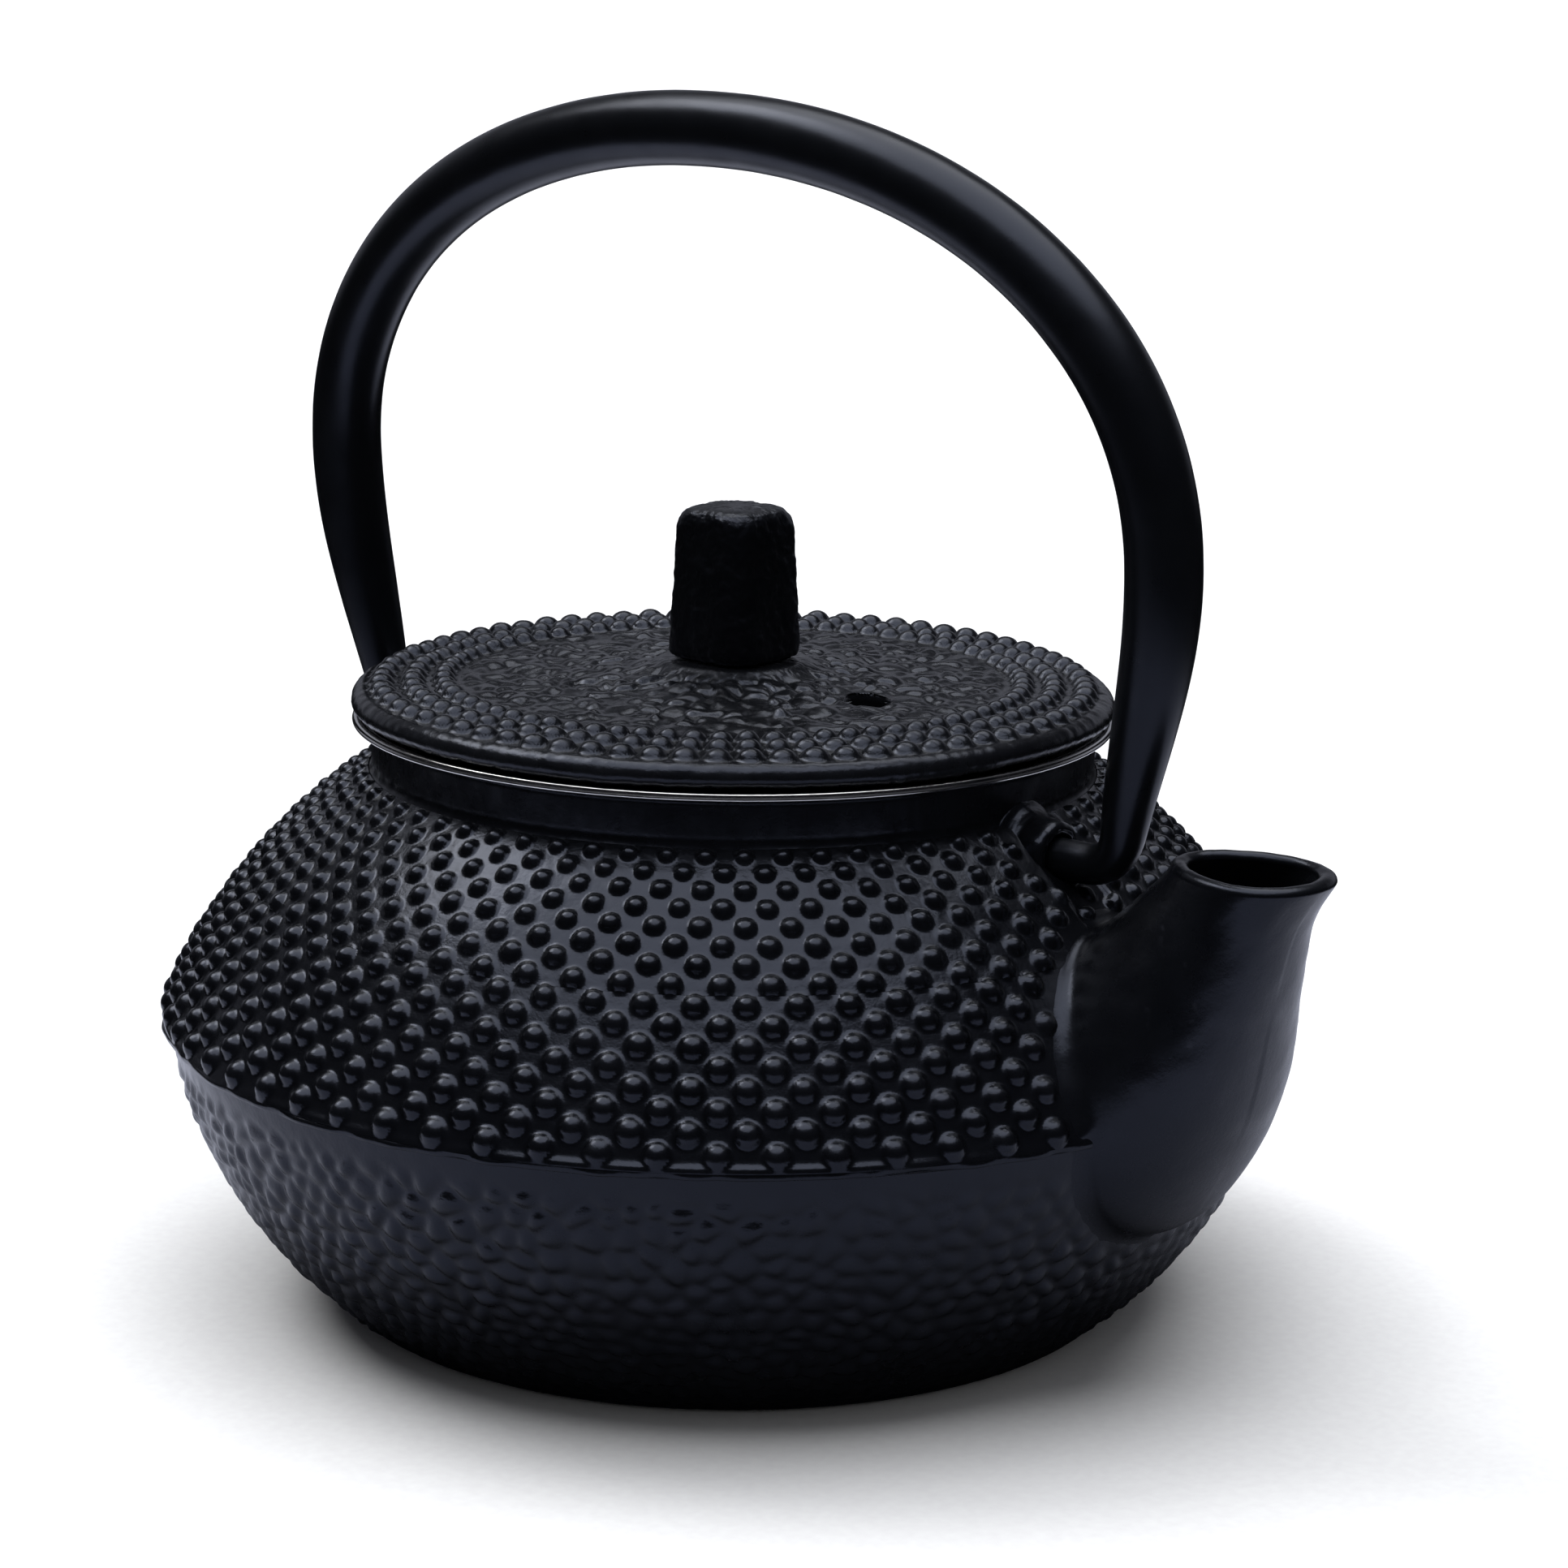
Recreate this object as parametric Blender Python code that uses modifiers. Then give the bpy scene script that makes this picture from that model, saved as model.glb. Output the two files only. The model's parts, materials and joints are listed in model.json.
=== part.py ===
"""Small cast-iron teapot with a drop-in steel infuser, a lid on its rim and a folding bail handle.

Frame: metres, +Z up, +X along the spout, origin at the middle of the base on the table plane.
"""
import math

import bmesh
import bpy
from mathutils import Vector

MM = 0.001
GAP = 0.3 * MM                      # clearance between pieces that rest on each other

# Pot casting
BELLY_R = 59.0 * MM                 # widest radius, at the seam of the two mould halves
SEAM_Z = 29.8 * MM
SEAM_STEP = 0.7 * MM                # the upper half overhangs the lower one by this
BASE_R = 41.3 * MM
FOOT_Z = 0.8 * MM                   # the belly ends here, and a bevel runs down to the foot
FOOT_BEVEL = 1.2 * MM
NECK_R = 37.4 * MM
NECK_FOOT_Z = 55.9 * MM
NECK_TOP_Z = 60.3 * MM
UPPER_BULGE = 2.4 * MM              # rise of the shoulder arc over its chord
LOWER_BULGE = 3.4 * MM
WALL = 3.0 * MM
FLOOR = 3.5 * MM
FLOOR_R = 35.6 * MM                 # the floor is a disc of its own, inside the lower ring
TURN_STEPS = 56

# Handle lugs and bail
PIVOT_Z = 52.5 * MM
LUG_R = 3.7 * MM
LUG_FLARE = 1.15                    # the ear's foot is this much wider than its round top
LUG_DROP = 6.5 * MM                 # from the pivot down to the ear's foot, inside the shoulder
LUG_SINK = 1.4 * MM                 # the ear starts this deep in the neck
LUG_FACE_X = 42.0 * MM
PEG_R = 2.05 * MM
PEG_HOLE_R = PEG_R + GAP
PEG_TIP_X = 39.2 * MM
PEG_HOLE_END_X = PEG_TIP_X - GAP
BAIL_R = 3.75 * MM
BAIL_HALF_WIDTH = 54.3 * MM         # centreline, at the widest part of the arch
BAIL_SIDE_Z = 83.0 * MM
BAIL_TOP_Z = 121.2 * MM
BAIL_SQUARENESS = 2.1               # superellipse exponent of the arch
BAIL_TAPER_Z = 54.0 * MM            # the limbs are drawn thin from BAIL_SIDE_Z down to here
BAIL_LEAN = math.radians(3.4)       # rest position, tipped off upright
ELBOW_R = 3.9 * MM
ELBOW_START = 3.6 * MM               # straight peg between the lug's face and the elbow
LIMB_SLOPE = math.radians(10)

# Infuser
COLLAR_R = 33.6 * MM
SHEET = 0.5 * MM
RIM_R = 39.3 * MM
RIM_BOTTOM_Z = NECK_TOP_Z + GAP
RIM_HEIGHT = 0.8 * MM
RIM_BEAD = 0.9 * MM
COLLAR_BOTTOM_Z = 49.0 * MM
MESH_R = 32.7 * MM
MESH_TOP_Z = 53.0 * MM
MESH_BOTTOM_Z = 13.4 * MM
HOOP_R = 33.5 * MM
HOOP_BOTTOM_Z = 12.6 * MM
HOOP_TOP_Z = 17.0 * MM
HOOP_LIP_R = 31.0 * MM

# Lid
LID_R = 39.3 * MM
LID_SEAT_Z = RIM_BOTTOM_Z + RIM_HEIGHT + GAP
LID_UNDER_Z = 61.9 * MM
LID_EDGE_TOP_Z = 64.2 * MM
LID_SKIRT_R = 32.2 * MM
LID_SKIRT_INNER_R = 29.6 * MM
LID_SKIRT_Z = 56.5 * MM
LID_SLOPE = ((7.4, 66.45), (10.0, 65.9), (14.0, 65.4), (20.0, 64.95))   # radius and height, boss to border
VENT_X = 17.6 * MM
VENT_R = 2.1 * MM

# Knob and its rivet
BOSS_R = 6.8 * MM
BOSS_TOP_Z = 66.9 * MM
KNOB_BASE_Z = BOSS_TOP_Z + GAP
KNOB_TOP_Z = 82.5 * MM
KNOB_BASE_SIDE = 11.4 * MM
KNOB_TOP_SIDE = 10.0 * MM
KNOB_CORNER = 3.0 * MM
KNOB_EDGE = 1.3 * MM
RIVET_R = 2.0 * MM
RIVET_HOLE_R = RIVET_R + GAP
RIVET_TIP_Z = 74.0 * MM
RIVET_HEAD_R = 3.8 * MM
RIVET_HEAD_H = 1.4 * MM
WASHER_R = 6.0 * MM
WASHER_H = 0.7 * MM

# Spout sections, root to mouth: back point (x, z), front point (x, z), half width, in mm
SPOUT_SECTIONS = (
    ((41.0, 44.0), (51.0, 16.5), 14.0),
    ((47.0, 46.4), (58.6, 19.0), 15.4),
    ((50.2, 48.8), (64.7, 30.0), 13.0),
    ((53.2, 51.6), (67.2, 41.0), 10.1),
    ((55.2, 53.7), (69.1, 49.5), 8.0),
    ((55.3, 54.8), (72.4, 55.2), 7.5),
)
CHANNEL_SECTIONS = (
    ((44.0, 41.0), (49.0, 26.0), 8.0),
    ((50.4, 42.6), (57.8, 25.5), 9.6),
    ((52.8, 46.2), (62.0, 33.0), 8.6),
    ((55.8, 49.8), (64.4, 42.8), 6.8),
    ((57.2, 52.9), (66.9, 49.8), 5.8),
    ((57.4, 54.6), (70.4, 54.9), 5.5),
    ((57.4, 56.6), (71.2, 56.6), 5.5),
)
SPOUT_SIDES = 28
SPOUT_RINGS_BETWEEN = 3
SPOUT_EGG = 0.16                    # the front of each section is this much fuller than its back
SPOUT_GAP = 0.4 * MM                # level gap between the spout and the rings it stands on


def clear_scene():
    for old in list(bpy.data.objects):
        bpy.data.objects.remove(old, do_unlink=True)


def make_collection(name):
    made = bpy.data.collections.new(name)
    bpy.context.scene.collection.children.link(made)
    return made


def make_material(name, colour, roughness, metallic):
    made = bpy.data.materials.new(name)
    made.use_nodes = True
    shader = made.node_tree.nodes["Principled BSDF"]
    shader.inputs["Base Color"].default_value = (*colour, 1.0)
    shader.inputs["Roughness"].default_value = roughness
    shader.inputs["Metallic"].default_value = metallic
    made.diffuse_color = (*colour, 1.0)
    return made


def add_object(name, data, collection, material=None):
    made = bpy.data.objects.new(name, data)
    collection.objects.link(made)
    if material:
        made.data.materials.append(material)
    return made


def arc(start, end, bulge, count):
    """Points on a circular arc, end included and start left out, rising by bulge to the left of the way."""
    start = Vector(start)
    end = Vector(end)
    chord = end - start
    normal = Vector((-chord.y, chord.x)).normalized()
    radius = (chord.length ** 2 / 4 + bulge ** 2) / (2 * bulge)
    centre = (start + end) / 2 + normal * (bulge - radius)
    half = math.asin(chord.length / 2 / radius)
    points = []
    for i in range(1, count + 1):
        angle = half - 2 * half * i / count
        points.append(centre + radius * (normal * math.cos(angle) - chord.normalized() * math.sin(angle)))
    return [(p.x, p.y) for p in points]


def turned(name, profile, collection, material=None, closed=False):
    """Solid of revolution about Z. The profile is (radius, z), down its outer side."""
    mesh = bpy.data.meshes.new(name)
    count = len(profile)
    edges = [(i, i + 1) for i in range(count - 1)]
    if closed:
        edges.append((count - 1, 0))
    mesh.from_pydata([(r, 0, z) for r, z in profile], edges, [])
    made = add_object(name, mesh, collection, material)
    screw = made.modifiers.new("Turn", "SCREW")
    screw.axis = "Z"
    screw.steps = TURN_STEPS
    screw.render_steps = TURN_STEPS
    screw.use_merge_vertices = True
    screw.merge_threshold = 0.00001
    screw.use_smooth_shade = True
    return made


def cylinder(name, radius, start, end, collection, sides=32):
    """Cylinder between two points."""
    start = Vector(start)
    end = Vector(end)
    way = end - start
    mesh = bpy.data.meshes.new(name)
    bm = bmesh.new()
    bmesh.ops.create_cone(
        bm, cap_ends=True, segments=sides, radius1=radius, radius2=radius, depth=way.length
    )
    bm.to_mesh(mesh)
    bm.free()
    made = add_object(name, mesh, collection)
    made.location = (start + end) / 2
    made.rotation_mode = "QUATERNION"
    made.rotation_quaternion = way.to_track_quat("Z", "Y")
    return made


def smooth_sections(sections, between):
    """Sections with Catmull-Rom ones set between them, as flat tuples of five lengths in mm."""
    flat = [(*back, *front, half) for back, front, half in sections]
    padded = [flat[0]] + flat + [flat[-1]]
    result = []
    for i in range(len(flat) - 1):
        a, b, c, d = padded[i:i + 4]
        for step in range(between):
            t = step / between
            result.append(tuple(
                0.5 * (2 * q + (r - p) * t + (2 * p - 5 * q + 4 * r - s) * t * t
                       + (3 * q - p - 3 * r + s) * t ** 3)
                for p, q, r, s in zip(a, b, c, d)
            ))
    result.append(flat[-1])
    return result


def loft(name, sections, collection):
    """Closed loft through egg-shaped sections that stand square to the plane of the spout."""
    bm = bmesh.new()
    rings = []
    for back_x, back_z, front_x, front_z, half in smooth_sections(sections, SPOUT_RINGS_BETWEEN):
        ring = []
        for i in range(SPOUT_SIDES):
            angle = 2 * math.pi * i / SPOUT_SIDES
            along = (1 + math.cos(angle)) / 2
            ring.append(bm.verts.new((
                (back_x + (front_x - back_x) * along) * MM,
                half * math.sin(angle) * (1 + SPOUT_EGG * math.cos(angle)) * MM,
                (back_z + (front_z - back_z) * along) * MM,
            )))
        rings.append(ring)
    for low, high in zip(rings, rings[1:]):
        for i in range(SPOUT_SIDES):
            j = (i + 1) % SPOUT_SIDES
            bm.faces.new((low[i], low[j], high[j], high[i]))
    bm.faces.new(list(reversed(rings[0])))
    bm.faces.new(rings[-1])
    bmesh.ops.recalc_face_normals(bm, faces=bm.faces[:])
    mesh = bpy.data.meshes.new(name)
    bm.to_mesh(mesh)
    bm.free()
    return add_object(name, mesh, collection)


def lug(name, side, collection):
    """Ear with a round top, square to X, standing on the shoulder against the neck."""
    inner_x = NECK_R - LUG_SINK
    foot_z = PIVOT_Z - LUG_DROP
    outline = [(-LUG_R * LUG_FLARE, foot_z)]
    steps = 12
    for i in range(steps + 1):
        angle = math.pi - math.pi * i / steps
        outline.append((LUG_R * math.cos(angle), PIVOT_Z + LUG_R * math.sin(angle)))
    outline.append((LUG_R * LUG_FLARE, foot_z))
    bm = bmesh.new()
    face = bm.faces.new([bm.verts.new((side * inner_x, y, z)) for y, z in outline])
    grown = bmesh.ops.extrude_face_region(bm, geom=[face])["geom"]
    moved = [v for v in grown if isinstance(v, bmesh.types.BMVert)]
    bmesh.ops.translate(bm, vec=(side * (LUG_FACE_X - inner_x), 0, 0), verts=moved)
    bmesh.ops.recalc_face_normals(bm, faces=bm.faces[:])
    mesh = bpy.data.meshes.new(name)
    bm.to_mesh(mesh)
    bm.free()
    return add_object(name, mesh, collection)


def boolean(target, cutter, operation):
    step = target.modifiers.new(operation.title() + " " + cutter.name, "BOOLEAN")
    step.operation = operation
    step.solver = "EXACT"
    step.object = cutter
    cutter.hide_render = True
    cutter.display_type = "WIRE"


def outer_shoulder(extra=0.0):
    """Outline (radius, z) of the upper casting, rim to seam, moved outwards by extra."""
    rim = NECK_R - 0.4 * MM + extra
    outline = [(0, NECK_TOP_Z), (rim, NECK_TOP_Z), (NECK_R + extra, NECK_TOP_Z - 0.4 * MM),
               (NECK_R + extra, NECK_FOOT_Z)]
    return outline + arc(outline[-1], (BELLY_R + extra, SEAM_Z + 0.3 * MM), UPPER_BULGE, 9)


def outer_belly(extra=0.0):
    """Outline (radius, z) of the lower casting, seam to foot, moved outwards by extra."""
    outline = [(BELLY_R - SEAM_STEP + extra, SEAM_Z - GAP)]
    return outline + arc(outline[0], (BASE_R + extra, FOOT_Z), LOWER_BULGE, 8)


def cavity(cutters):
    """The pot's inside, from above the rim down to its floor."""
    inside = [(0, NECK_TOP_Z + 1 * MM), (NECK_R - WALL, NECK_TOP_Z + 1 * MM),
              (NECK_R - WALL, NECK_FOOT_Z - 1 * MM)]
    inside += arc(inside[-1], (BELLY_R - WALL - 0.4 * MM, SEAM_Z), UPPER_BULGE, 6)
    inside += arc(inside[-1], (BASE_R - 2 * MM, FLOOR + 1 * MM), LOWER_BULGE, 6)
    inside += [(BASE_R - 5 * MM, FLOOR), (0, FLOOR)]
    return turned("cavity", inside, cutters)


def pot(parts, cutters, iron):
    """The iron casting, as an upper and a lower ring, a floor and a spout that keep a gap between them."""
    inside = cavity(cutters)
    channel = loft("spout_channel", CHANNEL_SECTIONS, cutters)

    shoulder = turned("pot_shoulder", outer_shoulder() + [(BELLY_R, SEAM_Z), (0, SEAM_Z)], parts, iron)
    for side, end in ((1, "front"), (-1, "rear")):
        boolean(shoulder, lug("lug_" + end, side, cutters), "UNION")
    boolean(shoulder, inside, "DIFFERENCE")
    boolean(shoulder, channel, "DIFFERENCE")
    for side, end in ((1, "front"), (-1, "rear")):
        hole = cylinder("peg_hole_" + end, PEG_HOLE_R, (side * PEG_HOLE_END_X, 0, PIVOT_Z),
                        (side * (LUG_FACE_X + 3 * MM), 0, PIVOT_Z), cutters, 20)
        boolean(shoulder, hole, "DIFFERENCE")

    foot = [(BASE_R - FOOT_BEVEL, 0), (0, 0)]
    belly = turned("pot_belly", [(0, SEAM_Z - GAP)] + outer_belly() + foot, parts, iron)
    boolean(belly, inside, "DIFFERENCE")
    boolean(belly, channel, "DIFFERENCE")
    floor_hole = cylinder("floor_hole", FLOOR_R + GAP, (0, 0, -1 * MM), (0, 0, FLOOR + 1 * MM),
                          cutters, TURN_STEPS)
    boolean(belly, floor_hole, "DIFFERENCE")
    turned("pot_floor", [(0, FLOOR), (FLOOR_R, FLOOR), (FLOOR_R, 0), (0, 0)], parts, iron)

    spout = loft("pot_spout", SPOUT_SECTIONS, parts)
    spout.data.materials.append(iron)
    seat = turned("spout_seat", outer_shoulder(SPOUT_GAP) + outer_belly(SPOUT_GAP) + [(0, FOOT_Z)], cutters)
    boolean(spout, seat, "DIFFERENCE")
    boolean(spout, channel, "DIFFERENCE")


def bail_half():
    """Centreline points (x, z) and radii of the bail's front half, from the peg's tip to the top."""
    elbow_x = LUG_FACE_X + ELBOW_START
    elbow_z = PIVOT_Z + ELBOW_R
    points = [(PEG_TIP_X, PIVOT_Z), ((PEG_TIP_X + elbow_x) / 2, PIVOT_Z)]
    steps = 6
    for i in range(steps + 1):
        angle = -math.pi / 2 + (math.pi / 2 - LIMB_SLOPE) * i / steps
        points.append((elbow_x + ELBOW_R * math.cos(angle), elbow_z + ELBOW_R * math.sin(angle)))
    low = Vector(points[-1])
    high = Vector((BAIL_HALF_WIDTH, BAIL_SIDE_Z))
    reach = (high - low).length / 3
    pull_low = low + reach * Vector((math.sin(LIMB_SLOPE), math.cos(LIMB_SLOPE)))
    pull_high = high - reach * Vector((0, 1))
    steps = 8
    for i in range(1, steps + 1):
        t = i / steps
        p = ((1 - t) ** 3 * low + 3 * t * (1 - t) ** 2 * pull_low
             + 3 * t * t * (1 - t) * pull_high + t ** 3 * high)
        points.append((p.x, p.y))
    steps = 20
    for i in range(1, steps + 1):
        angle = math.pi / 2 * i / steps
        across = max(math.cos(angle), 0) ** (2 / BAIL_SQUARENESS)
        up = math.sin(angle) ** (2 / BAIL_SQUARENESS)
        points.append((BAIL_HALF_WIDTH * across, BAIL_SIDE_Z + (BAIL_TOP_Z - BAIL_SIDE_Z) * up))
    radii = []
    for _, z in points:
        share = min(max((z - BAIL_TAPER_Z) / (BAIL_SIDE_Z - BAIL_TAPER_Z), 0), 1)
        radii.append(PEG_R + (BAIL_R - PEG_R) * math.sin(math.pi / 2 * share))
    return points, radii


def handle_bail(parts, enamel):
    points, radii = bail_half()
    points += [(-x, z) for x, z in reversed(points[:-1])]
    radii += list(reversed(radii[:-1]))
    curve = bpy.data.curves.new("handle_bail", "CURVE")
    curve.dimensions = "3D"
    curve.bevel_depth = 1.0
    curve.bevel_resolution = 2
    curve.use_fill_caps = True
    spline = curve.splines.new("POLY")
    spline.points.add(len(points) - 1)
    for point, (x, z), radius in zip(spline.points, points, radii):
        point.co = (x, 0, z - PIVOT_Z, 1)
        point.radius = radius
    bail = add_object("handle_bail", curve, parts, enamel)
    bail.location = (0, 0, PIVOT_Z)
    bail.rotation_euler = (BAIL_LEAN, 0, 0)


def lid(parts, cutters, iron):
    top = [(RIVET_HOLE_R, BOSS_TOP_Z), (BOSS_R, BOSS_TOP_Z)]
    top += [(radius * MM, z * MM) for radius, z in LID_SLOPE]
    top += [(LID_R - 2.2 * MM, LID_EDGE_TOP_Z)]
    edge = arc(top[-1], (LID_R, LID_SEAT_Z + 1.4 * MM), 0.5 * MM, 3)
    edge += arc(edge[-1], (LID_R - 1.1 * MM, LID_SEAT_Z), 0.3 * MM, 2)
    under = [(LID_SKIRT_R, LID_SEAT_Z), (LID_SKIRT_R, LID_SKIRT_Z), (LID_SKIRT_INNER_R, LID_SKIRT_Z),
             (LID_SKIRT_INNER_R, LID_UNDER_Z), (RIVET_HOLE_R, LID_UNDER_Z)]
    made = turned("lid", top + edge + under, parts, iron, closed=True)
    vent = cylinder("vent", VENT_R, (VENT_X, 0, LID_UNDER_Z - 1 * MM), (VENT_X, 0, 67 * MM), cutters, 20)
    boolean(made, vent, "DIFFERENCE")


def lid_knob(parts, cutters, iron):
    """Tapered block on a rounded square, its upright edges and both ends softened."""
    height = KNOB_TOP_Z - KNOB_BASE_Z
    bm = bmesh.new()
    bmesh.ops.create_cube(bm, size=1)
    for v in bm.verts:
        side = KNOB_TOP_SIDE if v.co.z > 0 else KNOB_BASE_SIDE
        v.co = (v.co.x * side, v.co.y * side, v.co.z * height)
    upright = [e for e in bm.edges if abs(e.verts[0].co.z - e.verts[1].co.z) > height / 2]
    bmesh.ops.bevel(bm, geom=upright, offset=KNOB_CORNER, segments=5, profile=0.5, affect="EDGES")
    rims = [e for e in bm.edges if abs(e.verts[0].co.z - e.verts[1].co.z) < 0.01 * MM]
    bmesh.ops.bevel(bm, geom=rims, offset=KNOB_EDGE, segments=3, profile=0.5, affect="EDGES")
    mesh = bpy.data.meshes.new("lid_knob")
    bm.to_mesh(mesh)
    bm.free()
    knob = add_object("lid_knob", mesh, parts, iron)
    knob.location = (0, 0, KNOB_BASE_Z + height / 2)
    bore = cylinder("knob_bore", RIVET_HOLE_R, (0, 0, KNOB_BASE_Z - 1 * MM),
                    (0, 0, RIVET_TIP_Z + GAP), cutters, 20)
    boolean(knob, bore, "DIFFERENCE")


def knob_rivet(parts, steel):
    washer_top = LID_UNDER_Z - GAP
    washer_bottom = washer_top - WASHER_H
    head_top = washer_bottom - GAP
    turned("knob_washer", [(RIVET_HOLE_R, washer_top), (WASHER_R, washer_top), (WASHER_R, washer_bottom),
                           (RIVET_HOLE_R, washer_bottom)], parts, steel, closed=True)
    rivet = [(0, RIVET_TIP_Z), (RIVET_R, RIVET_TIP_Z), (RIVET_R, head_top), (RIVET_HEAD_R, head_top)]
    rivet += arc(rivet[-1], (0, head_top - RIVET_HEAD_H), 0.45 * MM, 4)
    turned("knob_rivet", rivet, parts, steel)


def infuser(parts, steel, weave):
    rim_top = RIM_BOTTOM_Z + RIM_HEIGHT
    collar = [(COLLAR_R - SHEET, RIM_BOTTOM_Z + SHEET), (RIM_R - RIM_BEAD, RIM_BOTTOM_Z + SHEET),
              (RIM_R - RIM_BEAD, rim_top), (RIM_R - 0.2 * MM, rim_top), (RIM_R, rim_top - 0.2 * MM),
              (RIM_R, RIM_BOTTOM_Z + 0.2 * MM), (RIM_R - 0.2 * MM, RIM_BOTTOM_Z),
              (COLLAR_R, RIM_BOTTOM_Z), (COLLAR_R, COLLAR_BOTTOM_Z),
              (COLLAR_R - SHEET, COLLAR_BOTTOM_Z)]
    turned("infuser_collar", collar, parts, steel, closed=True)
    wall = [(MESH_R - SHEET, MESH_TOP_Z), (MESH_R, MESH_TOP_Z), (MESH_R, MESH_BOTTOM_Z),
            (MESH_R - SHEET, MESH_BOTTOM_Z)]
    turned("infuser_mesh_wall", wall, parts, weave, closed=True)
    floor_r = MESH_R - SHEET - GAP
    turned("infuser_mesh_floor", [(0, MESH_BOTTOM_Z + SHEET), (floor_r, MESH_BOTTOM_Z + SHEET),
                                  (floor_r, MESH_BOTTOM_Z), (0, MESH_BOTTOM_Z)], parts, weave)
    hoop = [(HOOP_R - SHEET, HOOP_TOP_Z), (HOOP_R, HOOP_TOP_Z), (HOOP_R, HOOP_BOTTOM_Z),
            (HOOP_LIP_R, HOOP_BOTTOM_Z), (HOOP_LIP_R, HOOP_BOTTOM_Z + SHEET),
            (HOOP_R - SHEET, HOOP_BOTTOM_Z + SHEET)]
    turned("infuser_base_hoop", hoop, parts, steel, closed=True)


def main():
    clear_scene()
    parts = make_collection("teapot_infuser")
    cutters = make_collection("cutters")
    iron = make_material("enamelled_iron", (0.012, 0.013, 0.016), 0.36, 0.0)
    lid_iron = make_material("lid_iron", (0.014, 0.015, 0.018), 0.40, 0.0)
    knob_iron = make_material("knob_iron", (0.010, 0.011, 0.013), 0.42, 0.0)
    bail_enamel = make_material("bail_enamel", (0.010, 0.011, 0.013), 0.30, 0.0)
    steel = make_material("polished_steel", (0.62, 0.61, 0.60), 0.18, 1.0)
    rivet_steel = make_material("rivet_steel", (0.45, 0.45, 0.45), 0.35, 1.0)
    weave = make_material("steel_mesh", (0.55, 0.55, 0.54), 0.30, 1.0)
    pot(parts, cutters, iron)
    handle_bail(parts, bail_enamel)
    infuser(parts, steel, weave)
    lid(parts, cutters, lid_iron)
    lid_knob(parts, cutters, knob_iron)
    knob_rivet(parts, rivet_steel)


main()
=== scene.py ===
"""Looks of a small cast-iron teapot: studded shoulder, scaled belly, beaded lid, bail and steel infuser.

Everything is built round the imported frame. Working lengths are millimetres; meshes are made in metres.
"""

import json
import math

import bpy
import numpy as np
from mathutils import Matrix, Vector


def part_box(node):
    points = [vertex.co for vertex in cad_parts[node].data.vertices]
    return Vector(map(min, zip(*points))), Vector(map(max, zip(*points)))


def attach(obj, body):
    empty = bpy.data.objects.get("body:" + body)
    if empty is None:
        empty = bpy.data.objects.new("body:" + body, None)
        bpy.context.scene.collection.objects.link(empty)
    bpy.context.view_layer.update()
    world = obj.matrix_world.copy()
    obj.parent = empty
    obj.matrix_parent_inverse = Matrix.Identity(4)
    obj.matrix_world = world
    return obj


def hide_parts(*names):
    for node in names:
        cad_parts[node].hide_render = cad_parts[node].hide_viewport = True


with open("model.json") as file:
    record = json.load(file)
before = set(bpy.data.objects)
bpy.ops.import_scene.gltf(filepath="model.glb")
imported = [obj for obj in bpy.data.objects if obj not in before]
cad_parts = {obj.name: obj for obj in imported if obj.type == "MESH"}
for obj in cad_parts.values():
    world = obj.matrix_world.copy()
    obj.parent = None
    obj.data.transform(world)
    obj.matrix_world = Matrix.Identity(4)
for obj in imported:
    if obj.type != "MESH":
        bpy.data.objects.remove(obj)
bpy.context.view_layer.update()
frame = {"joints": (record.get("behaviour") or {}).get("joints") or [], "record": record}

MM = 0.001
TURN = 2 * math.pi


def span(node):
    """Lowest and highest corner of a CAD node, in millimetres."""
    low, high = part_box(node)
    return np.array(low) / MM, np.array(high) / MM


# Driving sizes, read from the frame
POT_NODES = frame["record"]["behaviour"]["bodies"]["pot"]
POT_HIGH = np.max([span(name)[1] for name in POT_NODES], axis=0)
BELLY_R = POT_HIGH[1]
NECK_TOP_Z = POT_HIGH[2]
LID_LOW, LID_HIGH = span("lid")
LID_R = LID_HIGH[0]
LID_SKIRT_Z = LID_LOW[2]
BOSS_TOP_Z = LID_HIGH[2]
KNOB_LOW, KNOB_HIGH = span("lid_knob")
COLLAR_LOW, COLLAR_HIGH = span("infuser_collar")
MESH_LOW, MESH_HIGH = span("infuser_mesh_wall")
MESH_FLOOR_LOW, MESH_FLOOR_HIGH = span("infuser_mesh_floor")
HOOP_LOW, HOOP_HIGH = span("infuser_base_hoop")
WASHER_LOW, WASHER_HIGH = span("knob_washer")
RIVET_LOW, RIVET_HIGH = span("knob_rivet")
PIVOT_Z = next(j for j in frame["joints"] if j["name"] == "bail_fold")["pos_m"][2] / MM

# Pot profile
SEAM_Z = 29.8
SEAM_STEP = 0.7
SEAM_RIDGE = 0.15                   # raised edge of the upper casting, just above the seam
BASE_R = 41.3
BASE_Z = 0.8
FOOT_R = BASE_R - 1.2
AXIS_GAP = 0.2                      # radius of the pinhole where a pot disc meets the axis
NECK_R = 37.4
NECK_FOOT_Z = 55.9
UPPER_BULGE = 2.4
LOWER_BULGE = 3.4
WALL = 3.0
FLOOR_Z = 3.5

# Studs of the shoulder
STUD_ROWS = 16
STUDS_ROUND = 66
STUD_FIRST = 1.46
STUD_PITCH = 2.07
STUD_PHASE = math.radians(0.8)
STUD_SPREAD = 0.252                # stud radius as a share of the pitch round the pot
STUD_HEIGHTS = (0.72, 0.92)         # top row, bottom row

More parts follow.
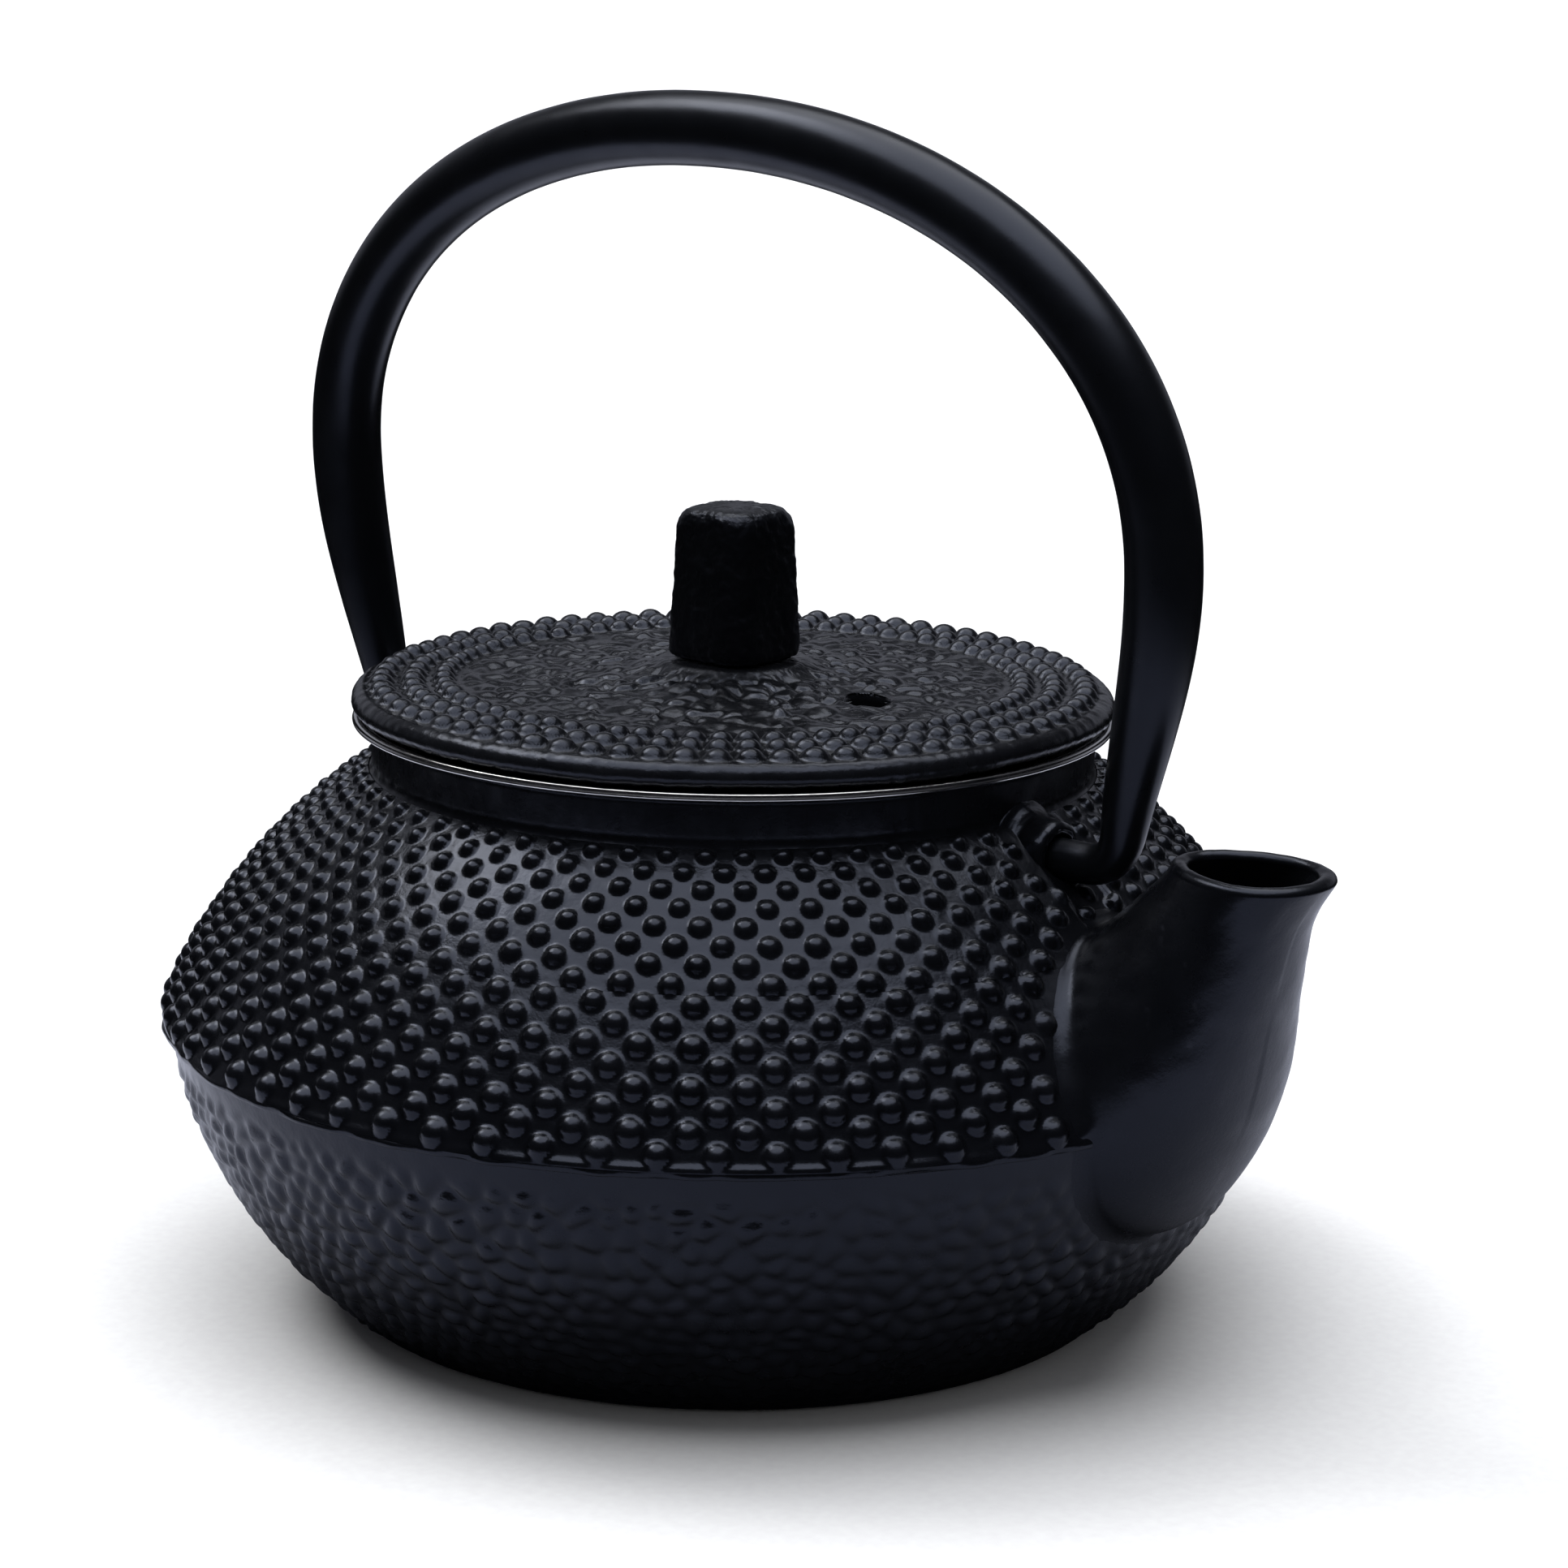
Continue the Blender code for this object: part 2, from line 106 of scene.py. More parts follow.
# Lugs and bail
LUG_R = 3.7
LUG_FACE_X = 42.0
PEG_R = 2.05
PEG_HOLE_R = 2.35
PEG_TIP_X = 39.2
PEG_BOSS = 1.9                      # the cavity's wall swells inwards by this behind each peg's hole
BAIL_R = 3.75
BAIL_HALF_WIDTH = 54.3
BAIL_SIDE_Z = 83.0
BAIL_TOP_Z = 121.2
BAIL_SQUARENESS = 2.1
BAIL_TAPER_Z = 54.0
BAIL_LEAN = math.radians(3.4)
ELBOW_R = 3.9
ELBOW_X = LUG_FACE_X + 3.6
LIMB_SLOPE = math.radians(10)

# Spout sections, root to mouth: back point (x, z), front point (x, z), half width
SPOUT_SECTIONS = (
    ((41.0, 44.0), (51.0, 16.5), 14.0),
    ((47.0, 46.4), (58.6, 19.0), 15.4),
    ((50.2, 48.8), (64.7, 30.0), 13.4),
    ((53.2, 51.6), (67.2, 41.0), 10.5),
    ((55.3, 53.7), (69.3, 49.4), 8.2),
    ((56.0, 54.7), (72.2, 54.3), 7.25),
)
CHANNEL_SECTIONS = (
    ((44.0, 41.0), (49.0, 26.0), 8.0),
    ((50.4, 42.6), (57.8, 25.5), 9.6),
    ((52.8, 46.2), (62.0, 33.0), 8.6),
    ((55.8, 49.8), (64.4, 42.8), 6.8),
    ((57.2, 53.2), (66.9, 49.8), 5.8),
    ((57.7, 54.8), (70.5, 54.4), 5.6),
)
SPOUT_EGG = 0.16
LIP_RISE = 0.7

# Lid
LID_SEAT_Z = 61.7
LID_UNDER_Z = 61.9
LID_EDGE_Z = 64.2
BEADS_ROUND = 73
BEAD_RINGS = (36.35, 33.05, 29.85)
BEAD_R = 1.45
BEAD_HEIGHT = 1.05
BEAD_PHASE = math.radians(-111.5)
STEM_R = 2.0
STEM_HOLE_R = 2.3
STEM_HEAD_HEIGHT = 1.4
VENT_X = 17.6
VENT_R = 2.3
CROWN_R = 28.2                      # the hammered middle ends here, the beaded border begins


# ---------------------------------------------------------------- geometry helpers

def circle(count):
    """That many angles, evenly round a full turn from 0."""
    return np.arange(count) * TURN / count


def polar(radius, theta, height):
    """Points from radius and angle about Z and from height, which are broadcast together."""
    radius, theta, height = np.broadcast_arrays(radius, theta, height)
    return np.stack([radius * np.cos(theta), radius * np.sin(theta), height], axis=-1)


def arc(start, end, bulge, count):
    """Points on a circular arc, both ends included, rising by bulge to the left of the way."""
    start, end = np.array(start, float), np.array(end, float)
    chord = end - start
    length = np.hypot(*chord)
    along = chord / length
    normal = np.array((-along[1], along[0]))
    radius = (length ** 2 / 4 + bulge ** 2) / (2 * bulge)
    centre = (start + end) / 2 + normal * (bulge - radius)
    half = math.asin(length / 2 / radius)
    angle = np.linspace(half, -half, count)[:, None]
    return centre + radius * (normal * np.cos(angle) - along * np.sin(angle))


def resample(line, step):
    """The polyline with points at nearly equal steps, and their arc lengths."""
    line = np.array(line, float)
    gone = np.r_[0, np.cumsum(np.linalg.norm(np.diff(line, axis=0), axis=1))]
    count = max(int(round(gone[-1] / step)), 1) + 1
    at = np.linspace(0, gone[-1], count)
    return np.stack([np.interp(at, gone, line[:, k]) for k in range(line.shape[1])], axis=1), at


def unit(vectors):
    """The vectors along the last axis, brought to length 1."""
    return vectors / np.maximum(np.linalg.norm(vectors, axis=-1, keepdims=True), 1e-9)


def side_normals(line):
    """Unit normals to the left of a (radius, z) line, which is outside where the line runs downwards."""
    way = unit(np.gradient(line, axis=0))
    return np.stack([-way[:, 1], way[:, 0]], axis=1)


def grain(shape, rows, columns, seed):
    """Smooth random field of unit deviation that closes on itself, its features rows by columns points."""
    field = np.random.default_rng(seed).standard_normal(shape)
    across = (np.fft.fftfreq(shape[0])[:, None] * rows) ** 2
    around = (np.fft.rfftfreq(shape[1])[None, :] * columns) ** 2
    field = np.fft.irfft2(np.fft.rfft2(field) * np.exp(-2 * math.pi ** 2 * (across + around)), s=shape)
    return field / field.std()


def plane_grain(x, y, seed, size=3.0):
    """Smooth random height over the plane, sampled at x and y, with features of about size."""
    cells_side = 96
    field = grain((cells_side, cells_side), 1.0, 1.0, seed)
    u = (x / size * 2 + cells_side / 2) % cells_side
    v = (y / size * 2 + cells_side / 2) % cells_side
    i, j = np.floor(u).astype(int), np.floor(v).astype(int)
    a, b = smoothstep(u - i, 0, 1), smoothstep(v - j, 0, 1)
    i, j = i % cells_side, j % cells_side
    k, m = (i + 1) % cells_side, (j + 1) % cells_side
    return (field[i, j] * (1 - a) * (1 - b) + field[k, j] * a * (1 - b)
            + field[i, m] * (1 - a) * b + field[k, m] * a * b)


def soften(field, passes):
    """Blurs a field a little, closed round its columns."""
    for _ in range(passes):
        field = (np.roll(field, 1, axis=1) + 2 * field + np.roll(field, -1, axis=1)) / 4
        padded = np.concatenate([field[:1], field, field[-1:]])
        field = (padded[:-2] + 2 * field + padded[2:]) / 4
    return field


def smooth_loop(values, passes):
    """Blurs values round a closed loop."""
    for _ in range(passes):
        values = (np.roll(values, 1, axis=0) + 2 * values + np.roll(values, -1, axis=0)) / 4
    return values


def smoothstep(value, low, high):
    """0 below low, 1 above high, with a smooth rise between them."""
    t = np.clip((value - low) / (high - low), 0, 1)
    return t * t * (3 - 2 * t)


def dome(distance, radius, height, fillet):
    """Spherical cap with a small fillet at its foot."""
    ball = (radius ** 2 + height ** 2) / (2 * height)
    inside = np.sqrt(np.maximum(ball ** 2 - np.minimum(distance, radius) ** 2, 0)) - (ball - height)
    slope = radius / math.sqrt(ball ** 2 - radius ** 2)
    level = inside - slope * np.maximum(distance - radius, 0)
    return 0.5 * (level + np.sqrt(level ** 2 + fillet ** 2))


def nearest(theta, phase, count):
    """Which of count even places round the axis each angle is nearest to, and its angle from there."""
    turn = (theta - phase) / TURN * count
    k = np.round(turn).astype(int)
    return k % count, (turn - k) * TURN / count


def cells(u, v, size_u, size_v, count, seed, jitter=0.34):
    """Irregular cells on a staggered lattice that closes after count columns.

    Gives the distances to the two nearest centres, the nearest one's random number and its offset along u.
    """
    rng = np.random.default_rng(seed)
    rows = int(u.max()) + 8
    shift = rng.uniform(-jitter, jitter, (rows, count, 2))
    value = rng.uniform(0, 1, (rows, count))
    first = np.full(u.shape, 1e9)
    second = np.full(u.shape, 1e9)
    chosen = np.zeros(u.shape)
    offset = np.zeros(u.shape)
    base_row = np.floor(u).astype(int)
    for i in range(-2, 3):
        row = base_row + i
        lag = 0.5 * (row % 2)
        base_column = np.floor(v - lag).astype(int)
        for j in range(-1, 3):
            column = base_column + j
            key = (row + 4, column % count)
            du = (u - (row + 0.5 + shift[key][..., 0])) * size_u
            dv = (v - lag - (column + 0.5 + shift[key][..., 1])) * size_v
            distance = np.sqrt(du ** 2 + dv ** 2) * (0.85 + 0.3 * value[key])
            nearer = distance < first
            second = np.where(nearer, first, np.minimum(second, distance))
            chosen = np.where(nearer, value[key], chosen)
            offset = np.where(nearer, du, offset)
            first = np.where(nearer, distance, first)
    return first, second, chosen, offset


def dense_rows(rings, step):
    """Rings with more set between them, where they are further apart than step."""
    result = [rings[:1]]
    for a, b in zip(rings, rings[1:]):
        count = max(int(np.linalg.norm(b - a, axis=1).max() / step), 1)
        share = (np.arange(1, count + 1) / count)[:, None, None]
        result.append(a[None] * (1 - share) + b[None] * share)
    return np.concatenate(result)


def sheet_normals(points):
    """Unit normals of a closed sheet's points, on the side its faces look."""
    down = np.gradient(points, axis=0)
    across = np.roll(points, -1, axis=1) - np.roll(points, 1, axis=1)
    return unit(np.cross(down, across))


def mesh_object(name, sheets, material):
    """One mesh, in metres, of sheets closed round their columns. A sheet is (points, kept faces or None)."""
    points_all, quads_all, total = [], [], 0
    for points, keep in sheets:
        rows, columns = points.shape[:2]
        left = np.arange(rows * columns).reshape(rows, columns) + total
        right = np.roll(left, -1, axis=1)
        quads = np.stack([left[:-1], left[1:], right[1:], right[:-1]], axis=-1)
        quads_all.append(quads[keep] if keep is not None else quads.reshape(-1, 4))
        points_all.append(points.reshape(-1, 3))
        total += rows * columns
    points = np.concatenate(points_all)
    quads = np.concatenate(quads_all)
    used, quads = np.unique(quads, return_inverse=True)
    quads = quads.reshape(-1, 4)
    mesh = bpy.data.meshes.new(name)
    mesh.vertices.add(len(used))
    mesh.vertices.foreach_set("co", (points[used] * MM).astype(np.float32).ravel())
    mesh.loops.add(quads.size)
    mesh.loops.foreach_set("vertex_index", quads.astype(np.int32).ravel())
    mesh.polygons.add(len(quads))
    mesh.polygons.foreach_set("loop_start", np.arange(0, quads.size, 4, dtype=np.int32))
    mesh.update(calc_edges=True)
    mesh.validate()
    mesh.shade_smooth()
    made = bpy.data.objects.new(name, mesh)
    bpy.context.scene.collection.objects.link(made)
    made.data.materials.append(material)
    return made


def skin(name, points, material, keep=None):
    """One closed sheet as a mesh of its own."""
    return mesh_object(name, [(points, keep)], material)


def turned(line, columns, relief=None):
    """Points of a sheet turned about Z from a (radius, z) line, moved along its normals by relief."""
    radius, height = line[:, 0, None], line[:, 1, None]
    if relief is not None:
        normals = side_normals(line)
        radius = radius + normals[:, 0, None] * relief
        height = height + normals[:, 1, None] * relief
    return polar(radius, circle(columns), height)


def ring_piece(name, line, columns, step, material):
    """Closed ring or disc turned from a line, finely stepped."""
    line, _ = resample(line, step)
    return skin(name, turned(line, columns), material)


def add_piece(made, body, slot, *nodes):
    """Hands a piece to the frame: parents it to its body and hides the CAD nodes it stands for. The slot
    argument is not used.
    """
    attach(made, body)
    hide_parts(*nodes)
    return made


# ---------------------------------------------------------------- materials

def node(tree, kind, **settings):
    made = tree.nodes.new(kind)
    for key, value in settings.items():
        setattr(made, key, value)
    return made


def noise(tree, coordinates, scale, detail, stretch=(1, 1, 1)):
    mapping = node(tree, "ShaderNodeMapping")
    mapping.inputs["Scale"].default_value = stretch
    tree.links.new(coordinates, mapping.inputs["Vector"])
    made = node(tree, "ShaderNodeTexNoise")
    made.inputs["Scale"].default_value = scale
    made.inputs["Detail"].default_value = detail
    made.inputs["Roughness"].default_value = 0.55
    tree.links.new(mapping.outputs["Vector"], made.inputs["Vector"])
    return made.outputs["Fac"]


def ramp(tree, value, stops):
    made = node(tree, "ShaderNodeValToRGB")
    elements = made.color_ramp.elements
    while len(elements) < len(stops):
        elements.new(0.5)
    for element, (position, level) in zip(elements, stops):
        element.position = position
        element.color = (*level, 1.0) if isinstance(level, tuple) else (level, level, level, 1.0)
    tree.links.new(value, made.inputs["Fac"])
    return made.outputs["Color"]


def scaled(tree, value, factor, offset):
    """The value times factor, plus offset."""
    made = node(tree, "ShaderNodeMath", operation="MULTIPLY_ADD")
    tree.links.new(value, made.inputs[0])
    made.inputs[1].default_value = factor
    made.inputs[2].default_value = offset
    return made.outputs["Value"]


def clouded(tree, place, scale, detail, low, high):
    """Colour or level that drifts from low to high with a noise."""
    return ramp(tree, noise(tree, place, scale, detail), ((0.3, low), (0.7, high)))


def blend(tree, kind, first, second):
    """Two colours in full, multiplied or added."""
    made = node(tree, "ShaderNodeMix", data_type="RGBA", blend_type=kind)
    made.inputs["Factor"].default_value = 1.0
    tree.links.new(first, made.inputs["A"])
    tree.links.new(second, made.inputs["B"])
    return made.outputs["Result"]


def bump(tree, height, distance, before=None):
    made = node(tree, "ShaderNodeBump")
    made.inputs["Distance"].default_value = distance
    made.inputs["Strength"].default_value = 1.0
    tree.links.new(height, made.inputs["Height"])
    if before is not None:
        tree.links.new(before, made.inputs["Normal"])
    return made.outputs["Normal"]


def new_material(name):
    made = bpy.data.materials.new(name)
    made.use_nodes = True
    tree = made.node_tree
    shader = tree.nodes["Principled BSDF"]
    place = node(tree, "ShaderNodeTexCoord").outputs["Object"]
    return made, tree, shader, place


def iron_material(name, dark, light, rough, grain_size, grain_depth, wear):
    """Black enamelled cast iron: cloudy colour, uneven gloss, casting grain and edges rubbed paler."""
    made, tree, shader, place = new_material(name)
    colour = clouded(tree, place, 90.0, 4.0, dark, light)
    edge = node(tree, "ShaderNodeNewGeometry").outputs["Pointiness"]
    worn = ramp(tree, edge, ((0.53, 0.0), (0.60, 1.0)))
    patchy = ramp(tree, noise(tree, place, 420.0, 2.0), ((0.45, 0.0), (0.65, 1.0)))
    mask = node(tree, "ShaderNodeMix", data_type="FLOAT")
    tree.links.new(worn, mask.inputs["Factor"])
    tree.links.new(patchy, mask.inputs["B"])
    mixed = node(tree, "ShaderNodeMix", data_type="RGBA")
    tree.links.new(mask.outputs["Result"], mixed.inputs["Factor"])
    tree.links.new(colour, mixed.inputs["A"])
    mixed.inputs["B"].default_value = (*wear, 1.0)
    tree.links.new(mixed.outputs["Result"], shader.inputs["Base Color"])
    tree.links.new(clouded(tree, place, 260.0, 3.0, *rough), shader.inputs["Roughness"])
    coarse = noise(tree, place, 1.0 / (grain_size * MM), 2.0)
    fine = noise(tree, place, 3.1 / (grain_size * MM), 2.0)
    lumps = bump(tree, coarse, grain_depth * MM)
    tree.links.new(bump(tree, fine, 0.35 * grain_depth * MM, lumps), shader.inputs["Normal"])
    shader.inputs["Specular IOR Level"].default_value = 0.31
    shader.inputs["Specular Tint"].default_value = (0.70, 0.77, 1.0, 1.0)
    return made


def steel_material(name, tint, rough, stretch):
    """Bright steel with fine drawn lines and faint clouding."""
    made, tree, shader, place = new_material(name)
    pale = tuple(min(c * 1.12, 1.0) for c in tint)
    tree.links.new(clouded(tree, place, 160.0, 3.0, tint, pale), shader.inputs["Base Color"])
    lines = noise(tree, place, 700.0, 2.0, stretch=stretch)
    tree.links.new(ramp(tree, lines, ((0.3, rough[0]), (0.7, rough[1]))), shader.inputs["Roughness"])
    tree.links.new(bump(tree, lines, 0.004 * MM), shader.inputs["Normal"])
    shader.inputs["Metallic"].default_value = 1.0
    return made


pot_iron = iron_material("pot_iron", (0.0016, 0.0018, 0.0024), (0.0034, 0.0037, 0.0048),
                         (0.19, 0.29), 0.42, 0.022, (0.010, 0.0105, 0.013))
smooth_iron = iron_material("smooth_iron", (0.0016, 0.0018, 0.0024), (0.0030, 0.0033, 0.0044),
                            (0.24, 0.33), 0.50, 0.016, (0.007, 0.0075, 0.010))
lid_iron = iron_material("lid_iron", (0.0022, 0.0024, 0.0030), (0.0044, 0.0047, 0.0058),
                         (0.20, 0.32), 0.40, 0.026, (0.012, 0.0125, 0.015))
knob_iron = iron_material("knob_iron", (0.0014, 0.0016, 0.0022), (0.0030, 0.0033, 0.0042),
                          (0.26, 0.38), 0.45, 0.055, (0.008, 0.0085, 0.011))
bail_enamel = iron_material("bail_enamel", (0.0016, 0.0018, 0.0024), (0.0024, 0.0027, 0.0034),
                            (0.27, 0.33), 0.90, 0.006, (0.004, 0.0045, 0.005))
inner_enamel = iron_material("inner_enamel", (0.0020, 0.0020, 0.0024), (0.0036, 0.0036, 0.0042),
                             (0.22, 0.34), 0.80, 0.020, (0.006, 0.006, 0.0065))
rim_steel = steel_material("rim_steel", (0.62, 0.61, 0.60), (0.12, 0.24), (1, 1, 18))
rivet_steel = steel_material("rivet_steel", (0.42, 0.42, 0.42), (0.28, 0.42), (1, 1, 1))
mesh_steel = steel_material("mesh_steel", (0.55, 0.55, 0.54), (0.24, 0.34), (1, 1, 1))


# ---------------------------------------------------------------- pot outlines

SHOULDER_TOP, SHOULDER_FOOT = (NECK_R, NECK_FOOT_Z), (BELLY_R, SEAM_Z + 0.3)
BELLY_TOP, BELLY_FOOT = (BELLY_R - SEAM_STEP, SEAM_Z - 0.2), (BASE_R, BASE_Z)
SHOULDER_LINE, SHOULDER_AT = resample(arc(SHOULDER_TOP, SHOULDER_FOOT, UPPER_BULGE, 400), 0.02)
BELLY_LINE, _ = resample(arc(BELLY_TOP, BELLY_FOOT, LOWER_BULGE, 400), 0.02)
OUTER_LINE, OUTER_AT = resample(np.concatenate([SHOULDER_LINE, BELLY_LINE]), 0.05)
INNER_WIDEST = (BELLY_R - WALL - 0.4, SEAM_Z)
INNER_LINE, _ = resample(np.concatenate([
    arc((NECK_R - WALL, NECK_FOOT_Z - 1), INNER_WIDEST, UPPER_BULGE, 200),
    arc(INNER_WIDEST, (BASE_R - 2, FLOOR_Z + 1), LOWER_BULGE, 200)[1:],
]), 0.05)


def smooth_sections(sections, t):
    """Catmull-Rom sections at the shares t of the way, as (n, 5): back x, back z, front x, front z, half."""
    flat = np.array([(*back, *front, half) for back, front, half in sections])
    padded = np.concatenate([flat[:1], flat, flat[-1:]])
    place = np.clip(np.asarray(t) * (len(flat) - 1), 0, len(flat) - 1 - 1e-9)
    k = place.astype(int)
    u = (place - k)[:, None]
    a, b, c, d = padded[k], padded[k + 1], padded[k + 2], padded[k + 3]
    bend = (2 * a - 5 * b + 4 * c - d) * u ** 2 + (3 * b - a - 3 * c + d) * u ** 3
    return 0.5 * (2 * b + (c - a) * u + bend)


def tube_point(sections, t, angle):
    """Points of the egg-shaped tube at the shares t and angles round it, front at angle 0."""
    flat = smooth_sections(sections, t)
    along = (1 + np.cos(angle)) / 2
    x = flat[:, 0] + (flat[:, 2] - flat[:, 0]) * along
    z = flat[:, 1] + (flat[:, 3] - flat[:, 1]) * along
    y = flat[:, 4] * np.sin(angle) * (1 + SPOUT_EGG * np.cos(angle))
    return np.stack([x, y, z], axis=-1)


def leave_share(sections, line, columns):
    """For each angle, the share of the way at which the tube's wall leaves the turned surface of line."""
    t = np.linspace(0, 0.9, 1200)
    low_first = line[::-1]
    shares = []
    for angle in circle(columns):
        p = tube_point(sections, t, np.full(len(t), angle))
        outside = np.hypot(p[:, 0], p[:, 1]) - np.interp(p[:, 2], low_first[:, 1], low_first[:, 0])
        inside = np.nonzero(outside < 0)[0]
        shares.append(t[inside[-1]] if len(inside) else 0.0)
    return np.array(shares)


def surface_place(points, line, at):
    """Arc length down the line and angle about Z of points that lie on the turned surface."""
    s = np.interp(points[:, 2], line[::-1, 1], at[::-1])
    return s, np.arctan2(points[:, 1], points[:, 0])


def surface_point(s, theta, line, at, lift):
    """Points of the turned surface at arc lengths and angles, lifted off it."""
    normals = side_normals(line)
    radius = np.interp(s, at, line[:, 0]) + lift * np.interp(s, at, normals[:, 0])
    height = np.interp(s, at, line[:, 1]) + lift * np.interp(s, at, normals[:, 1])
    return polar(radius, theta, height)


SPOUT_COLUMNS = 256
SPOUT_ANGLES = circle(SPOUT_COLUMNS)
SPOUT_LEAVES = smooth_loop(leave_share(SPOUT_SECTIONS, OUTER_LINE, SPOUT_COLUMNS), 6)
SPOUT_ROOT = tube_point(SPOUT_SECTIONS, SPOUT_LEAVES, SPOUT_ANGLES)
ROOT_S, ROOT_THETA = surface_place(SPOUT_ROOT, OUTER_LINE, OUTER_AT)
ROOT_SCALE = 54.0                   # radius that turns an angle near the spout into a length
ROOT_LOOP = np.stack([ROOT_S, ROOT_THETA * ROOT_SCALE], axis=1)
ROOT_OVERLAP = 1.0                  # the pot's skin runs on this far inside the spout's root
SPOUT_GRAIN_SPAN = 57.6             # a turn round the spout in its grain, so that the fine grain closes


def root_distance(s, theta):
    """Signed distance on the pot's surface to the spout's root, negative inside it."""
    shape = np.shape(s)
    s = np.ravel(s)
    across = np.ravel((theta + math.pi) % TURN - math.pi) * ROOT_SCALE
    near = (np.abs(across) < 30) & (s > 0)
    result = np.full(s.shape, 30.0)
    loop = ROOT_LOOP[::2]
    following = np.roll(loop, -1, axis=0)
    p = np.stack([s[near], across[near]], axis=1)
    best = np.full(len(p), 1e9)
    crossings = np.zeros(len(p), int)
    for a, b in zip(loop, following):
        way = b - a
        t = np.clip(((p - a) @ way) / (way @ way), 0, 1)
        best = np.minimum(best, np.linalg.norm(p - a - t[:, None] * way, axis=1))
        spans = (a[1] > p[:, 1]) != (b[1] > p[:, 1])
        if abs(way[1]) > 1e-12:
            crossings += spans & (p[:, 0] < a[0] + (p[:, 1] - a[1]) / way[1] * way[0])
    result[near] = np.where(crossings % 2 == 1, -best, best)
    return result.reshape(shape)


# ---------------------------------------------------------------- pot pieces

LUG_HALF = 4.5                      # the shoulder is left plain this far to each side of a lug
LUG_REACH = 6.8                     # and this far down from the neck


def stud_strengths():
    """Height of each stud: a little uneven, and fading out beside the spout and under the lugs."""
    rng = np.random.default_rng(5)
    strength = np.ones((STUD_ROWS, STUDS_ROUND))
    size = np.ones((STUD_ROWS, STUDS_ROUND))
    for row in range(STUD_ROWS):
        s = STUD_FIRST + STUD_PITCH * row
        theta = STUD_PHASE + (np.arange(STUDS_ROUND) + 0.5 * (row % 2)) * TURN / STUDS_ROUND
        radius = np.interp(s, SHOULDER_AT, SHOULDER_LINE[:, 0])
        beside = smoothstep(root_distance(np.full(STUDS_ROUND, s), theta), 0.9, 2.6)
        y = np.abs(radius * np.sin(theta))
        beyond = smoothstep(y, LUG_HALF - 0.6, LUG_HALF + 0.5)
        below = smoothstep(s, LUG_REACH, LUG_REACH + 5)
        under = 1 - (1 - beyond) * (1 - below)
        strength[row] = beside * under * rng.uniform(0.9, 1.06, STUDS_ROUND)
        size[row] = rng.uniform(0.95, 1.04, STUDS_ROUND) * (0.7 + 0.3 * beside * under)
    return strength, size


STUD_STRENGTH, STUD_SIZE = stud_strengths()


def stud_relief(s, theta):
    """Height of the studs over the shoulder at arc lengths s (rows) and angles theta (columns)."""
    relief = np.zeros((len(s), len(theta)))
    radius = np.interp(s, SHOULDER_AT, SHOULDER_LINE[:, 0])[:, None]
    pitch = TURN / STUDS_ROUND
    for row in range(STUD_ROWS):
        centre = STUD_FIRST + STUD_PITCH * row
        height = STUD_HEIGHTS[0] + (STUD_HEIGHTS[1] - STUD_HEIGHTS[0]) * row / (STUD_ROWS - 1)
        reach = STUD_SPREAD * pitch * np.interp(centre, SHOULDER_AT, SHOULDER_LINE[:, 0])
        near = np.nonzero(np.abs(s - centre) < reach * 1.8)[0]
        if not len(near):
            continue
        k, off = nearest(theta, STUD_PHASE + 0.5 * (row % 2) * pitch, STUDS_ROUND)
        distance = np.hypot(s[near, None] - centre, off * radius[near])
        size = STUD_SIZE[row, k]
        strength = STUD_STRENGTH[row, k]
        bumps = strength * dome(distance / size, reach, height, 0.10)
        relief[near] = np.maximum(relief[near], bumps)
    return relief


def peg_groove(points):
    """Presses the shoulder down under the bail's pegs, and a shallow run-out below them."""
    x, y, z = np.abs(points[..., 0]), points[..., 1], points[..., 2]
    past = x - LUG_FACE_X
    along = smoothstep(past, -2.0, -0.5) * (1 - smoothstep(past, 3.5, 6.5))
    z = z - 0.55 * (1 - smoothstep(np.abs(y), 2.6, 3.5)) * along
    floor = PIVOT_Z - np.sqrt(np.maximum(PEG_HOLE_R ** 2 - y ** 2, 0))
    under = (np.abs(y) < PEG_HOLE_R) & (x > PEG_TIP_X - 0.3) & (past < 4.0)
    points[..., 2] = np.where(under, np.minimum(z, floor), z)
    return points


def face_mask(s, theta):
    """Faces of a turned sheet that stay: those outside the spout's root, and a strip just inside it."""
    mid_s = (s[:-1] + s[1:])[:, None] / 2 * np.ones(len(theta))
    mid_theta = np.broadcast_to(theta + (theta[1] - theta[0]) / 2, mid_s.shape)
    return root_distance(mid_s, mid_theta) > -ROOT_OVERLAP


def shoulder_piece(name, start, end, columns, step, seed):
    """A band of the studded shoulder from arc length start to end."""
    line, at = resample(SHOULDER_LINE[(SHOULDER_AT >= start - 1e-6) & (SHOULDER_AT <= end + 1e-6)], step)
    s = at + start
    theta = circle(columns)
    relief = stud_relief(s, theta)
    relief += 0.012 * grain(relief.shape, 1.3, 1.3, seed) + 0.016 * grain(relief.shape, 5, 5, seed + 1)
    ridge = SEAM_RIDGE * np.exp(-((s - SHOULDER_AT[-1] + 0.35) / 0.42) ** 2)[:, None]
    relief = np.maximum(relief, ridge * np.clip(0.9 + 0.7 * grain((1, columns), 1, 17, seed + 2), 0, 2))
    points = peg_groove(turned(line, columns, relief))
    keep = face_mask(s, theta)
    return skin(name, points, pot_iron, keep)


